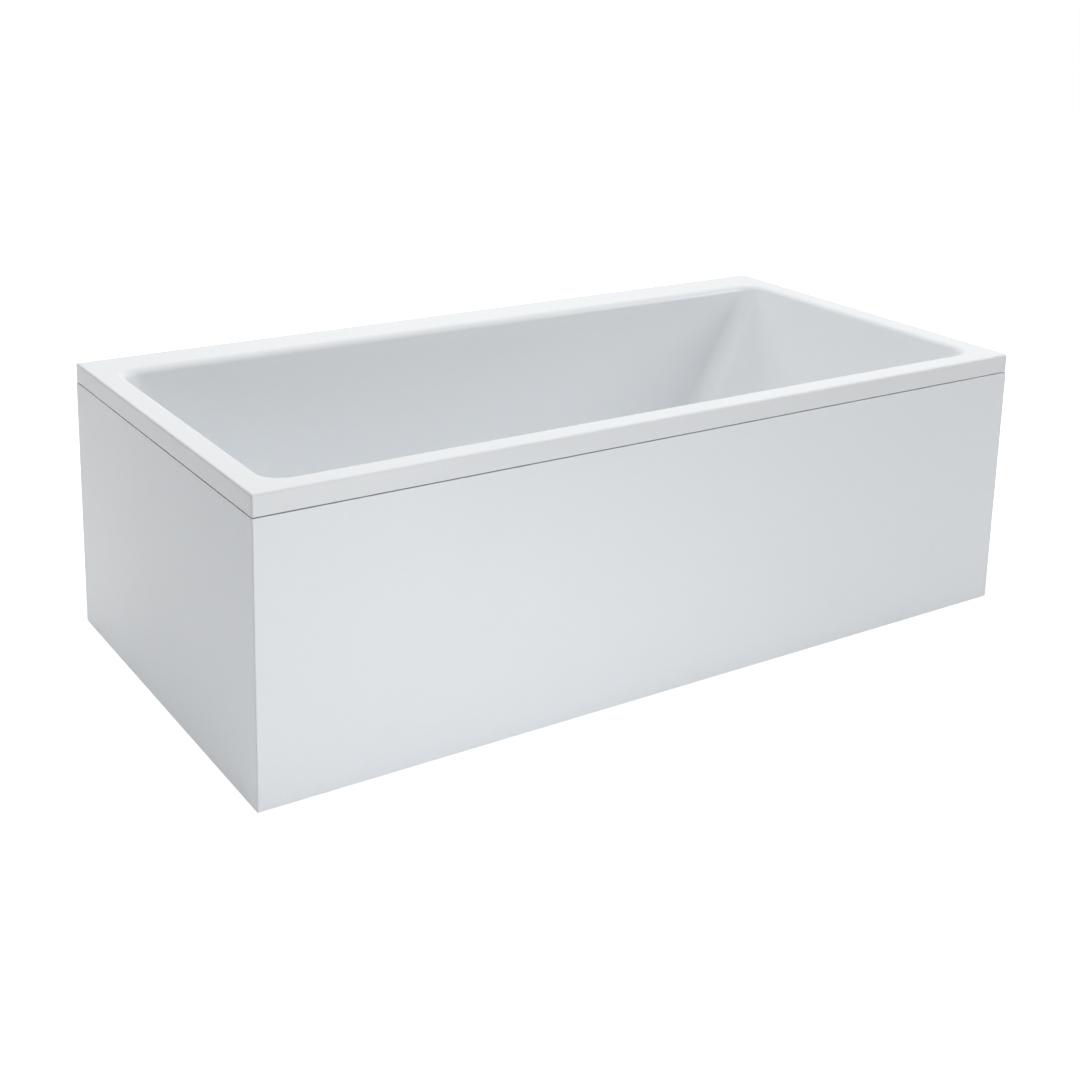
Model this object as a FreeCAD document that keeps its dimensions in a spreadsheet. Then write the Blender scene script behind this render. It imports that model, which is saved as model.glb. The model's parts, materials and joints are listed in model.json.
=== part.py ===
import FreeCAD, Part
import math
import os
import re

import Sketcher
from FreeCAD import Placement, Rotation, Vector

# A rectangular built-in bathtub with an L-shaped apron on its front and on its drain end.
# X runs along the tub from the drain end to the head end, Y from the room to the wall, Z up.
# The origin is on the floor, under the middle of the rim.  All lengths are millimetres.

SIZES = {
    # outside of the tub
    "tub_length": 1800,
    "tub_width": 900,
    "rim_height": 580,
    # acrylic shell: flat rim with a turned-down skirt, and a bowl that leans outwards
    "shell_wall": 5,
    "skirt_drop": 40,
    "front_ledge": 58,
    "wall_ledge": 105,
    "drain_ledge": 54,
    "head_ledge": 57,
    "bowl_depth": 430,
    "side_run": 43,
    "drain_run": 90,
    "head_run": 248,
    "mouth_round": 45,
    "floor_round": 90,
    "bowl_fillet": 60,
    "lip_round": 16,
    "edge_round": 4,
    "corner_round": 4,
    "skirt_edge_round": 1,
    "overrun": 1,
    # glass-fibre layer and board under the bowl
    "backing_wall": 3,
    "bond_gap": 0.2,
    "backing_drop": 28,
    "board_thick": 16,
    "board_inset": 72,
    "board_start": 90,
    # waste hole and overflow hole
    "drain_setback": 110,
    "recess_radius": 38,
    "recess_depth": 4,
    "waste_hole": 26,
    "overflow_hole": 26,
    "overflow_drop": 75,
    # steel frame of square tube
    "tube_side": 25,
    "tube_wall": 2,
    "frame_setback": 18,
    "trap_room": 56.5,
    "head_bay": 444.5,
    # levelling feet
    "spindle_radius": 5,
    "spindle_rise": 3.5,
    "spindle_chamfer": 1,
    "thread_clearance": 0.06,
    "pad_radius": 17,
    "pad_thick": 8,
    "pad_boss": 6,
    "pad_shoulder": 2,
    "pad_floor": 4,
    "collar_radius": 9,
    "collar_height": 6,
    "nut_radius": 9.8,
    "nut_height": 6,
    "insert_radius": 7.5,
    "insert_flange": 3,
    "insert_depth": 18,
    # board screws
    "screw_radius": 2.5,
    "screw_head": 5,
    "screw_head_height": 3,
    "screw_bite": 12,
    "screw_spread": 150,
    # apron
    "panel_skin": 4,
    "panel_board": 5,
    "shadow_gap": 2,
    "panel_lift": 4,
    "panel_lip": 4,
    "panel_round": 3,
    "mitre_gap": 0.15,
    "seat_gap": 0.3,
    "batten_thick": 8,
    "batten_height": 15,
    "shelf_thick": 3,
    "shelf_width": 30,
    "shelf_pitch": 420,
    "end_shelf_pitch": 600,
    "magnet_width": 24,
    "magnet_height": 30,
    "magnet_top_drop": 80,
    "magnet_low_rise": 60,
    "keeper_thick": 1.5,
    # wall anchors
    "anchor_sheet": 2.5,
    "anchor_width": 60,
    "anchor_height": 70,
    "anchor_hook": 16,
    "anchor_spread": 500,
    "anchor_hole": 3.5,
    "anchor_hole_pitch": 36,
    "anchor_hole_drop": 40,
    # fittings: shared seals, clearances and spoked guides
    "gasket_thick": 3,
    "gasket_radius": 34,
    "fitting_gap": 0.2,
    "running_clearance": 0.06,
    "spoke_width": 5,
    "spoke_thick": 3,
    "spoke_bite": 0.5,
    # overflow fitting
    "cup_radius": 30,
    "cup_depth": 34,
    "cup_wall": 2.5,
    "clamp_radius": 31,
    "clamp_thick": 2,
    "sleeve_wall": 3,
    "thread_length": 8,
    "hub_radius": 8,
    "hub_length": 12,
    "shaft_radius": 4,
    "cam_radius": 9,
    "cam_thick": 5,
    "knob_radius": 33,
    "knob_thick": 8,
    "knob_wall": 3,
    "knob_standoff": 9,
    "knob_edge": 2.5,
    "knob_seat": 1,
    "grip_length": 52,
    "grip_width": 9,
    "grip_height": 8,
    "grip_round": 4,
    "pipe_radius": 14,
    "pipe_wall": 2,
    "pipe_depth": 18,
    "pipe_bend": 55,
    "socket_wall": 2.5,
    "socket_length": 18,
    "cable_radius": 2.5,
    "cable_bend": 45,
    "cable_side": 26,
    "cable_depth": 22,
    "cable_boss": 4.5,
    "cable_boss_length": 8,
    # waste fitting
    "flange_radius": 36,
    "flange_thick": 2,
    "throat_radius": 25,
    "throat_wall": 3,
    "throat_length": 22,
    "guide_radius": 7,
    "plug_radius": 31,
    "plug_thick": 4.5,
    "plug_edge": 2,
    "plug_standoff": 2,
    "plug_boss": 17,
    "plug_boss_depth": 6,
    "seal_width": 7,
    "stem_radius": 3,
    "stem_length": 50,
    "waste_sump": 1.9,
    "waste_radius": 32,
    "waste_wall": 3,
    "inlet_drop": 36,
    "cable_drop": 62,
    # trap and outlet pipe
    "trap_reach": 135,
    "trap_radius": 42,
    "trap_gap": 3.5,
    "trap_depth": 110,
    "trap_shoulder": 0.5,
    "trap_wall": 2.5,
    "trap_cap": 3,
    "drain_pipe_radius": 20,
    "drain_pipe_wall": 2,
    "dip_rise": 8,
    "outlet_rise": 56,
    "union_wall": 4,
    "union_lip": 3,
    "pipe_end_gap": 12,
    "spigot_length": 50,
    "stop_ring": 2,
    "stop_width": 3,
}

# Places worked out from the sizes and from each other.
PLACES = {
    "front_face": "-tub_width / 2",
    "wall_face": "tub_width / 2",
    "drain_face": "-tub_length / 2",
    "head_face": "tub_length / 2",
    "mouth_front": "front_face + front_ledge",
    "mouth_wall": "wall_face - wall_ledge",
    "mouth_drain": "drain_face + drain_ledge",
    "mouth_head": "head_face - head_ledge",
    "bowl_floor": "rim_height - bowl_depth",
    "bowl_middle": "(mouth_front + mouth_wall) / 2",
    "skirt_foot": "rim_height - skirt_drop",
    "rim_underside": "rim_height - shell_wall",
    "full_wall": "shell_wall + bond_gap + backing_wall",
    "floor_drain": "mouth_drain + drain_run",
    "floor_head": "mouth_head - head_run",
    "floor_front": "mouth_front + side_run",
    "floor_wall": "mouth_wall - side_run",
    "drain_x": "floor_drain + drain_setback",
    "recess_floor": "bowl_floor - recess_depth",
    "recess_opening": "recess_radius + 2 * shell_wall",
    "board_top": "bowl_floor - full_wall - seat_gap",
    "board_foot": "board_top - board_thick",
    # frame
    "tube_bore": "tube_side - 2 * tube_wall",
    "rail_top": "board_foot",
    "rail_foot": "rail_top - tube_side",
    "rim_rail_foot": "rim_underside - seat_gap - tube_side",
    "frame_front": "front_face + frame_setback",
    "frame_wall": "wall_face - frame_setback",
    "frame_drain": "drain_face + frame_setback",
    "frame_head": "head_face - frame_setback",
    "insert_foot": "rail_foot - insert_flange",
    "thread_bore": "spindle_radius + thread_clearance",
    "screw_bore": "screw_radius + fitting_gap",
    # apron
    "panel_top": "skirt_foot - shadow_gap",
    "panel_back": "panel_skin + panel_board",
    "magnet_depth": "frame_setback - panel_back - keeper_thick - seat_gap",
    # overflow: heights along the axis that stands square to the drain-end wall
    "drain_lean": "(drain_run / bowl_depth)",
    "lean_length": "sqrt(1 + drain_lean^2)",
    "axis_lean": "90 deg - atan(drain_lean)",
    "overflow_x": "mouth_drain + drain_lean * overflow_drop",
    "overflow_z": "rim_height - overflow_drop",
    "gasket_face": "-full_wall - fitting_gap",
    "cup_face": "gasket_face - gasket_thick - fitting_gap",
    "cup_back": "cup_face - cup_depth",
    "sleeve_radius": "overflow_hole - fitting_gap",
    "sleeve_bore": "sleeve_radius - sleeve_wall",
    "sleeve_end": "cup_face - thread_length",
    "shaft_bore": "shaft_radius + running_clearance",
    "shaft_end": "cup_back + cup_wall + cam_thick",
    "knob_top": "knob_standoff + knob_thick",
    "pipe_axis": "cup_face - pipe_depth",
    "pipe_bore": "pipe_radius - pipe_wall",
    "cable_axis": "cup_face - cable_depth",
    # waste: heights above the recess floor
    "waste_gasket_face": "-shell_wall - fitting_gap",
    "waste_face": "waste_gasket_face - gasket_thick - fitting_gap",
    "waste_base": "-outlet_drop - drain_pipe_radius - socket_wall - waste_sump",
    "flange_top": "fitting_gap + flange_thick",
    "throat_bore": "throat_radius - throat_wall",
    "throat_end": "flange_top - throat_length",
    "stem_bore": "stem_radius + running_clearance",
    "plug_foot": "flange_top + plug_standoff",
    "stem_top": "plug_foot - plug_boss_depth",
    # trap
    "drain_pipe_bore": "drain_pipe_radius - drain_pipe_wall",
    "trap_x": "drain_x + trap_reach",
    "trap_top": "board_foot - trap_gap",
    "trap_base": "trap_top - trap_depth",
    "trap_inlet": "trap_top - trap_cap - trap_shoulder - socket_wall - drain_pipe_radius",
    "outlet_height": "trap_base + outlet_rise",
    "outlet_drop": "recess_floor - trap_inlet",
    "second_rail": "trap_x + trap_radius + trap_room",
    "third_rail": "frame_head - 2 * tube_side - head_bay",
    "pipe_end": "wall_face - pipe_end_gap",
}

doc = FreeCAD.newDocument("Bathtub")


# ---- sizes and formulas -------------------------------------------------------------------

def make_sheet():
    """The driving dimensions, one named cell each."""
    sheet = doc.addObject("Spreadsheet::Sheet", "Sizes")
    for row, (name, size) in enumerate(SIZES.items(), 1):
        sheet.set(f"A{row}", name)
        sheet.set(f"B{row}", str(size))
        sheet.setAlias(f"B{row}", name)
    doc.recompute()
    return sheet


sizes_sheet = make_sheet()


def formula(text):
    """The text with every place written out and every size read from the sheet."""

    def spell(match):
        word = match.group(0)
        if word in PLACES:
            return "(" + formula(PLACES[word]) + ")"
        if word in SIZES:
            return "Sizes." + word
        return word

    return re.sub(r"[a-z_]+", spell, str(text))


def measure(text):
    """The number that a formula gives now."""
    found = sizes_sheet.evalExpression(formula(text))
    return float(getattr(found, "Value", found))


def bind(thing, prop, text):
    """Ties a property to a formula of the sheet."""
    thing.setExpression(prop, formula(text))


def place(thing, x="0", y="0", z="0", turn=None, axis=Vector(0, 0, 1)):
    """Puts a thing at a formula's place, turned by a formula's angle about an axis."""
    angle = measure(turn) if turn else 0
    thing.Placement = Placement(Vector(measure(x), measure(y), measure(z)), Rotation(axis, angle))
    bind(thing, "Placement.Base.x", x)
    bind(thing, "Placement.Base.y", y)
    bind(thing, "Placement.Base.z", z)
    if turn:
        bind(thing, "Placement.Rotation.Angle", turn)
    return thing


# ---- sketches and features ----------------------------------------------------------------

def new_body(name):
    body = doc.addObject("PartDesign::Body", name)
    body.Label = name
    return body


def sketch_on(body, role, lift="0"):
    """An empty sketch on one of the body's own planes, lifted along the plane's normal."""
    sketch = body.newObject("Sketcher::SketchObject", body.Name + "_sketch")
    plane = next(f for f in body.Origin.OriginFeatures if f.Role == role)
    sketch.AttachmentSupport = [(plane, "")]
    sketch.MapMode = "FlatFace"
    bind(sketch, "AttachmentOffset.Base.z", lift)
    return sketch


def pin(sketch, edge, end, x, y):
    """Holds one end of an edge at a place measured from the sketch's origin."""
    for kind, text in (("DistanceX", x), ("DistanceY", y)):
        number = sketch.addConstraint(Sketcher.Constraint(kind, -1, 1, edge, end, measure(text)))
        bind(sketch, f"Constraints[{number}]", text)


def polygon(sketch, points):
    """A closed outline of straight lines through the points."""
    first = sketch.GeometryCount
    count = len(points)
    spots = [Vector(measure(x), measure(y), 0) for x, y in points]
    for n in range(count):
        sketch.addGeometry(Part.LineSegment(spots[n], spots[(n + 1) % count]))
    for n in range(count):
        after = first + (n + 1) % count
        sketch.addConstraint(Sketcher.Constraint("Coincident", first + n, 2, after, 1))
        pin(sketch, first + n, 1, *points[n])
    return sketch


def rounded_box(sketch, left, right, low, high, radius):
    """A rectangle with four equal round corners."""
    r = f"({radius})"
    ends = [
        ((f"{left} + {r}", low), (f"{right} - {r}", low)),
        ((right, f"{low} + {r}"), (right, f"{high} - {r}")),
        ((f"{right} - {r}", high), (f"{left} + {r}", high)),
        ((left, f"{high} - {r}"), (left, f"{low} + {r}")),
    ]
    centres = [
        (f"{right} - {r}", f"{low} + {r}"),
        (f"{right} - {r}", f"{high} - {r}"),
        (f"{left} + {r}", f"{high} - {r}"),
        (f"{left} + {r}", f"{low} + {r}"),
    ]
    first = sketch.GeometryCount
    for n in range(4):
        start, end = [Vector(measure(x), measure(y), 0) for x, y in ends[n]]
        sketch.addGeometry(Part.LineSegment(start, end))
    for n in range(4):
        middle = Vector(measure(centres[n][0]), measure(centres[n][1]), 0)
        circle = Part.Circle(middle, Vector(0, 0, 1), measure(radius))
        begin = math.radians(90 * n - 90)
        sketch.addGeometry(Part.ArcOfCircle(circle, begin, begin + math.pi / 2))
    for n in range(4):
        line, arc = first + n, first + 4 + n
        pin(sketch, line, 1, *ends[n][0])
        pin(sketch, line, 2, *ends[n][1])
        sketch.addConstraint(Sketcher.Constraint("Coincident", arc, 1, line, 2))
        sketch.addConstraint(Sketcher.Constraint("Coincident", arc, 2, first + (n + 1) % 4, 1))
        middle_x = measure(centres[n][0])
        number = sketch.addConstraint(Sketcher.Constraint("DistanceX", -1, 1, arc, 3, middle_x))
        bind(sketch, f"Constraints[{number}]", centres[n][0])
    return sketch


def pad(body, sketch, length):
    """Material from the sketch's plane up to a length along its normal."""
    feature = body.newObject("PartDesign::Pad", body.Name + "_pad")
    feature.Profile = sketch
    bind(feature, "Length", length)
    return feature


def pocket_through(body, sketch):
    """A cut both ways through the whole body."""
    feature = body.newObject("PartDesign::Pocket", body.Name + "_pocket")
    feature.Profile = sketch
    feature.Type = "ThroughAll"
    feature.Midplane = True
    return feature


def revolve(body, sketch):
    """A full turn of the sketch about its upright axis."""
    feature = body.newObject("PartDesign::Revolution", body.Name + "_turn")
    feature.Profile = sketch
    feature.ReferenceAxis = (sketch, ["V_Axis"])
    feature.Angle = 360
    return feature


def bar(body, kind, radius, length, x="0", y="0", z="0", turn=None, axis=Vector(0, 1, 0)):
    """A round bar added to a body or cut out of it, from a place along the turned Z axis."""
    feature = body.newObject(f"PartDesign::{kind}Cylinder", body.Name + "_bar")
    bind(feature, "Radius", radius)
    bind(feature, "Height", length)
    return place(feature, x, y, z, turn, axis)


def fillet(body, radius, chosen):
    """Rounds the edges of the body's last feature that the test picks."""
    doc.recompute()
    base = body.Tip
    names = [f"Edge{n}" for n, edge in enumerate(base.Shape.Edges, 1) if chosen(edge.BoundBox)]
    feature = body.newObject("PartDesign::Fillet", body.Name + "_fillet")
    feature.Base = (base, names)
    bind(feature, "Radius", radius)
    return feature


def at_height(box, text):
    """True for an edge that lies flat at a height."""
    level = measure(text)
    return abs(box.ZMin - level) < 0.01 and abs(box.ZMax - level) < 0.01


def inside(box, left, right, low, high, margin=0.0):
    """True for an edge whose box lies within a rectangle in plan."""
    return (
        box.XMin > measure(left) - margin
        and box.XMax < measure(right) + margin
        and box.YMin > measure(low) - margin
        and box.YMax < measure(high) + margin
    )


def turned(name, points, x="0", y="0", z="0", turn=None):
    """A body turned about its own Z axis from an outline of (radius, height) points."""
    body = new_body(name)
    revolve(body, polygon(sketch_on(body, "XZ_Plane"), points))
    place(body, x, y, z, turn, Vector(0, 1, 0))
    return body


# ---- plain solids -------------------------------------------------------------------------

def box(name, x, y, z, long, wide, tall):
    solid = doc.addObject("Part::Box", name)
    bind(solid, "Length", long)
    bind(solid, "Width", wide)
    bind(solid, "Height", tall)
    return place(solid, x, y, z)


def rod(name, radius, length, x, y, z, turn=None, axis=Vector(1, 0, 0)):
    solid = doc.addObject("Part::Cylinder", name)
    bind(solid, "Radius", radius)
    bind(solid, "Height", length)
    return place(solid, x, y, z, turn, axis)


def hexagon(name, radius, height, x, y, z):
    solid = doc.addObject("Part::Prism", name)
    solid.Polygon = 6
    bind(solid, "Circumradius", radius)
    bind(solid, "Height", height)
    return place(solid, x, y, z)


def cut(name, base, tool):
    result = doc.addObject("Part::Cut", name)
    result.Base = base
    result.Tool = tool
    result.Label = name
    return result


def fuse(name, parts):
    result = doc.addObject("Part::MultiFuse", name)
    result.Shapes = parts
    result.Label = name
    return result


def together(name, parts):
    """Several separate solids in one node."""
    result = doc.addObject("Part::Compound", name)
    result.Links = parts
    result.Label = name
    return result


def tube_along(name, way, x, y, z, length):
    """A square tube whose low corner is at a place, open at both ends along X, Y or Z."""
    spans = {axis: "tube_side" for axis in "XYZ"}
    spans[way] = length
    bores = {axis: "tube_bore" for axis in "XYZ"}
    bores[way] = f"{length} + 2 * overrun"
    start = dict(zip("XYZ", (x, y, z)))
    inner = {axis: f"{start[axis]} + tube_wall" for axis in "XYZ"}
    inner[way] = f"{start[way]} - overrun"
    outside = box(name + "_outside", x, y, z, *[spans[a] for a in "XYZ"])
    bore = box(name + "_bore", *[inner[a] for a in "XYZ"], *[bores[a] for a in "XYZ"])
    return cut(name, outside, bore)


# ---- the tub ------------------------------------------------------------------------------

def bowl_outline(body, level, skin):
    """The bowl's outline, moved out square to each wall by a skin thickness."""

    def shift(run):
        lean = f"({run} / bowl_depth)"
        out = f"({skin}) * sqrt(1 + {lean}^2)"
        if level == "mouth":
            return f"(-{out})"
        return f"({run} + {lean} * ({skin}) - {out})"

    lift = "rim_height" if level == "mouth" else f"bowl_floor - ({skin})"
    radius = f"{level}_round + ({skin})"
    sketch = sketch_on(body, "XY_Plane", lift)
    return rounded_box(
        sketch,
        f"mouth_drain + {shift('drain_run')}",
        f"mouth_head - {shift('head_run')}",
        f"mouth_front + {shift('side_run')}",
        f"mouth_wall - {shift('side_run')}",
        radius,
    )


def bowl(body, skin):
    """The bowl's solid out to a skin thickness, with a rounded edge all round its floor."""
    upper = bowl_outline(body, "mouth", skin)
    lower = bowl_outline(body, "floor", skin)
    feature = body.newObject("PartDesign::AdditiveLoft", body.Name + "_loft")
    feature.Profile = upper
    feature.Sections = [lower]
    feature.Ruled = True
    return fillet(body, f"bowl_fillet + ({skin})", lambda b: at_height(b, f"bowl_floor - ({skin})"))


def hollow_bowl(body, skin):
    """Cuts the bowl's solid, up to a skin thickness, out of a body."""
    inner = new_body(body.Name + "_hollow")
    bowl(inner, skin)
    feature = body.newObject("PartDesign::Boolean", body.Name + "_cut")
    feature.Type = "Cut"
    feature.setObjects([inner])
    return feature


def overflow_cut(body, radius):
    """A hole through the drain-end wall, square to it."""
    reach = "4 * full_wall"
    x = f"overflow_x - {reach} / lean_length"
    z = f"overflow_z - {reach} * drain_lean / lean_length"
    bar(body, "Subtractive", radius, f"2 * {reach}", x, "bowl_middle", z, "axis_lean")


def in_mouth(edge_box, margin):
    return inside(edge_box, "mouth_drain", "mouth_head", "mouth_front", "mouth_wall", margin)


def on_outside(edge_box):
    """True for an edge of the rim's outer outline, not of the mouth or the skirt's inside."""
    return not inside(edge_box, "drain_face + shell_wall", "head_face - shell_wall",
                      "front_face + shell_wall", "wall_face - shell_wall", 0.01)


def tub_shell():
    """The visible acrylic shell: rim plate, skirt and bowl in one wall."""
    body = new_body("tub_shell")
    plate = sketch_on(body, "XY_Plane", "rim_underside")
    rounded_box(plate, "drain_face", "head_face", "front_face", "wall_face", "corner_round")
    pad(body, plate, "shell_wall")
    skirt = sketch_on(body, "XY_Plane", "skirt_foot")
    rounded_box(skirt, "drain_face", "head_face", "front_face", "wall_face", "corner_round")
    left, right = "drain_face + shell_wall", "head_face - shell_wall"
    low, high = "front_face + shell_wall", "wall_face - shell_wall"
    polygon(skirt, [(left, low), (right, low), (right, high), (left, high)])
    pad(body, skirt, "skirt_drop - shell_wall")
    bowl(body, "shell_wall")
    fillet(
        body,
        "lip_round - shell_wall",
        lambda b: at_height(b, "rim_underside") and in_mouth(b, 2 * measure("shell_wall")),
    )
    hollow_bowl(body, "0")
    boss = "recess_radius + shell_wall"
    bar(body, "Additive", boss, "recess_depth + shell_wall", "drain_x", "bowl_middle",
        "recess_floor - shell_wall")
    bar(body, "Subtractive", "recess_radius", "recess_depth + overrun", "drain_x", "bowl_middle",
        "recess_floor")
    bar(body, "Subtractive", "waste_hole", "4 * shell_wall", "drain_x", "bowl_middle",
        "recess_floor - 2 * shell_wall")
    overflow_cut(body, "overflow_hole")
    fillet(body, "lip_round", lambda b: at_height(b, "rim_height") and in_mouth(b, 1))
    fillet(body, "edge_round", lambda b: at_height(b, "rim_height") and on_outside(b))
    fillet(body, "skirt_edge_round", lambda b: at_height(b, "skirt_foot") and on_outside(b))
    return body


def glass_fibre_backing():
    """The sprayed layer on the outside of the bowl, open round the waste and the overflow."""
    body = new_body("glass_fibre_backing")
    bowl(body, "full_wall")
    hollow_bowl(body, "shell_wall + bond_gap")
    trim = sketch_on(body, "XY_Plane", "rim_height - backing_drop")
    polygon(trim, [("drain_face", "front_face"), ("head_face", "front_face"),
                   ("head_face", "wall_face"), ("drain_face", "wall_face")])
    cutter = body.newObject("PartDesign::Pocket", "glass_fibre_backing_trim")
    cutter.Profile = trim
    cutter.Reversed = True
    bind(cutter, "Length", "2 * backing_drop")
    bar(body, "Subtractive", "recess_opening", "4 * full_wall", "drain_x", "bowl_middle",
        "bowl_floor - 2 * full_wall")
    overflow_cut(body, "overflow_hole")
    return body


def base_board():
    """The board under the bowl's floor, drilled from below for its screws."""
    width = "floor_wall - floor_front - 2 * board_inset"
    slab = box("base_board_slab", "drain_x + board_start", "floor_front + board_inset", "board_foot",
               "floor_head - board_inset - drain_x - board_start", width, "board_thick")
    holes = [rod(f"board_hole_{n}", "screw_bore", "screw_bite + seat_gap", x, y, "board_foot")
             for n, (x, y) in enumerate(screw_places(), 1)]
    return cut("base_board", slab, fuse("board_holes", holes))


# ---- the steel frame ----------------------------------------------------------------------

POST_SIDES = {"front": "frame_front", "wall": "frame_wall - tube_side"}
POST_ENDS = {
    "drain": "frame_drain",
    "middle": "-tube_side / 2",
    "head": "frame_head - tube_side",
}
CROSS_PLACES = {
    "drain": "frame_drain",
    "second": "second_rail",
    "third": "third_rail",
    "head": "frame_head - tube_side",
}


def screw_places():
    """Where the board's screws stand: two in each of the two inner cross rails."""
    return [(f"{rail} + tube_side / 2", f"bowl_middle + {way} * screw_spread")
            for rail in ("second_rail", "third_rail") for way in (-1, 1)]


def foot_places():
    """The middles of the posts, where the feet's spindles run."""
    return {
        f"{side}_{end}": (f"{x} + tube_side / 2", f"{y} + tube_side / 2")
        for side, y in POST_SIDES.items() for end, x in POST_ENDS.items()
    }


def long_rails():
    """A rim rail and a base rail on each long side; the base rails are drilled for the feet."""
    made = []
    length = "frame_head - frame_drain"
    for side, y in POST_SIDES.items():
        made.append(tube_along(f"{side}_rim_rail", "X", "frame_drain", y, "rim_rail_foot", length))
        rail = tube_along(f"{side}_base_tube", "X", "frame_drain", y, "rail_foot", length)
        holes = [rod(f"rail_hole_{place_name}", "insert_radius + fitting_gap", "2 * tube_side", *spot,
                     "rail_foot - tube_side / 2")
                 for place_name, spot in foot_places().items() if place_name.startswith(side)]
        made.append(cut(f"{side}_base_rail", rail, fuse(f"{side}_rail_holes", holes)))
    return made


def cross_rails():
    """Rails between the base rails; the inner two carry the board and are drilled for it."""
    made = []
    low = "frame_front + tube_side"
    length = "frame_wall - frame_front - 2 * tube_side"
    for n, (name, x) in enumerate(CROSS_PLACES.items()):
        inner = name in ("second", "third")
        label = f"{name}_cross_tube" if inner else f"{name}_cross_rail"
        rail = tube_along(label, "Y", x, low, "rail_foot", length)
        if inner:
            spots = screw_places()[2 * (n - 1):2 * n]
            holes = [rod(f"{name}_hole_{k}", "screw_bore", "2 * tube_side", *spot,
                         "rail_foot - tube_side / 2") for k, spot in enumerate(spots, 1)]
            rail = cut(f"{name}_cross_rail", rail, fuse(f"{name}_cross_holes", holes))
        rail.Label = f"{name}_cross_rail"
        made.append(rail)
    return made


def posts():
    made = []
    for side, y in POST_SIDES.items():
        for end, x in POST_ENDS.items():
            made.append(tube_along(f"{side}_{end}_post", "Z", x, y, "rail_top",
                                   "rim_rail_foot - rail_top"))
    return made


def board_screws():
    """Pan-head screws up through the inner cross rails into the board."""
    screws = []
    for n, (x, y) in enumerate(screw_places(), 1):
        shank = rod(f"screw_shank_{n}", "screw_radius", "tube_side + screw_bite", x, y, "rail_foot")
        head = rod(f"screw_head_{n}", "screw_head", "screw_head_height", x, y,
                   "rail_foot - screw_head_height")
        screws.append(fuse(f"board_screw_{n}", [shank, head]))
    return together("board_screws", screws)


# ---- levelling feet -----------------------------------------------------------------------

def foot_inserts():
    """Flanged threaded inserts in the base rails, one over each foot."""
    points = [
        ("thread_bore", "0"),
        ("insert_radius + insert_flange", "0"),
        ("insert_radius + insert_flange", "insert_flange"),
        ("insert_radius", "insert_flange"),
        ("insert_radius", "insert_depth"),
        ("thread_bore", "insert_depth"),
    ]
    return together("foot_inserts", [turned(f"insert_{name}", points, x, y, "insert_foot")
                                     for name, (x, y) in foot_places().items()])


def lock_nuts():
    """Hexagon nuts run up against the inserts."""
    nuts = []
    for name, (x, y) in foot_places().items():
        body = hexagon(f"nut_body_{name}", "nut_radius", "nut_height", x, y,
                       "insert_foot - nut_height")
        bore = rod(f"nut_bore_{name}", "thread_bore", "nut_height + 2 * overrun", x, y,
                   "insert_foot - nut_height - overrun")
        nuts.append(cut(f"nut_{name}", body, bore))
    return together("lock_nuts", nuts)


def feet():
    """A round pad and a threaded spindle with a collar, for each post."""
    pad_points = [
        ("0", "0"),
        ("pad_radius", "0"),
        ("pad_radius", "pad_thick / 2"),
        ("collar_radius + pad_shoulder", "pad_thick"),
        ("collar_radius", "pad_thick + pad_boss"),
        ("thread_bore", "pad_thick + pad_boss"),
        ("thread_bore", "pad_floor"),
        ("0", "pad_floor"),
    ]
    collar = "pad_thick + pad_boss + fitting_gap"
    spindle_points = [
        ("0", "pad_floor"),
        ("spindle_radius", "pad_floor"),
        ("spindle_radius", collar),
        ("collar_radius", collar),
        ("collar_radius", f"{collar} + collar_height"),
        ("spindle_radius", f"{collar} + collar_height"),
        ("spindle_radius", "rail_top + spindle_rise - spindle_chamfer"),
        ("spindle_radius - spindle_chamfer", "rail_top + spindle_rise"),
        ("0", "rail_top + spindle_rise"),
    ]
    made = []
    for name, (x, y) in foot_places().items():
        made.append(turned(f"{name}_foot_pad", pad_points, x, y))
        made.append(turned(f"{name}_foot_spindle", spindle_points, x, y))
    return made


# ---- wall anchors -------------------------------------------------------------------------

def wall_anchors():
    """Hooked plates that are screwed to the wall and hold the skirt's lower edge."""
    top = "skirt_foot - seat_gap"
    hook_front = "wall_face - shell_wall - seat_gap - anchor_sheet"
    points = [
        ("wall_face", top),
        ("wall_face - shell_wall - seat_gap", top),
        ("wall_face - shell_wall - seat_gap", f"{top} + anchor_hook"),
        (hook_front, f"{top} + anchor_hook"),
        (hook_front, f"{top} - anchor_sheet"),
        ("wall_face - anchor_sheet", f"{top} - anchor_sheet"),
        ("wall_face - anchor_sheet", f"{top} - anchor_height"),
        ("wall_face", f"{top} - anchor_height"),
    ]
    anchors = []
    for n, side in enumerate((-1, 0, 1), 1):
        body = new_body(f"anchor_{n}")
        lift = f"{side} * anchor_spread - anchor_width / 2"
        pad(body, polygon(sketch_on(body, "YZ_Plane", lift), points), "anchor_width")
        for way in (-1, 1):
            bar(body, "Subtractive", "anchor_hole", "4 * anchor_sheet",
                f"{side} * anchor_spread + {way} * anchor_hole_pitch / 2",
                "wall_face + 2 * anchor_sheet", f"{top} - anchor_hole_drop", "90 deg", Vector(1, 0, 0))
        anchors.append(body)
    return together("wall_anchors", anchors)


# ---- apron --------------------------------------------------------------------------------

def corner_strip(body, near, far, foot, height):
    """An L in plan along the front and the drain end, between two distances from the faces."""
    ends = ("drain_face", "front_face")
    outer, inner = [[f"{face} + {deep}" for face in ends] for deep in (near, far)]
    points = [
        (outer[0], outer[1]),
        ("head_face", outer[1]),
        ("head_face", inner[1]),
        (inner[0], inner[1]),
        (inner[0], "wall_face"),
        (outer[0], "wall_face"),
    ]
    return pad(body, polygon(sketch_on(body, "XY_Plane", foot), points), height)


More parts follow.
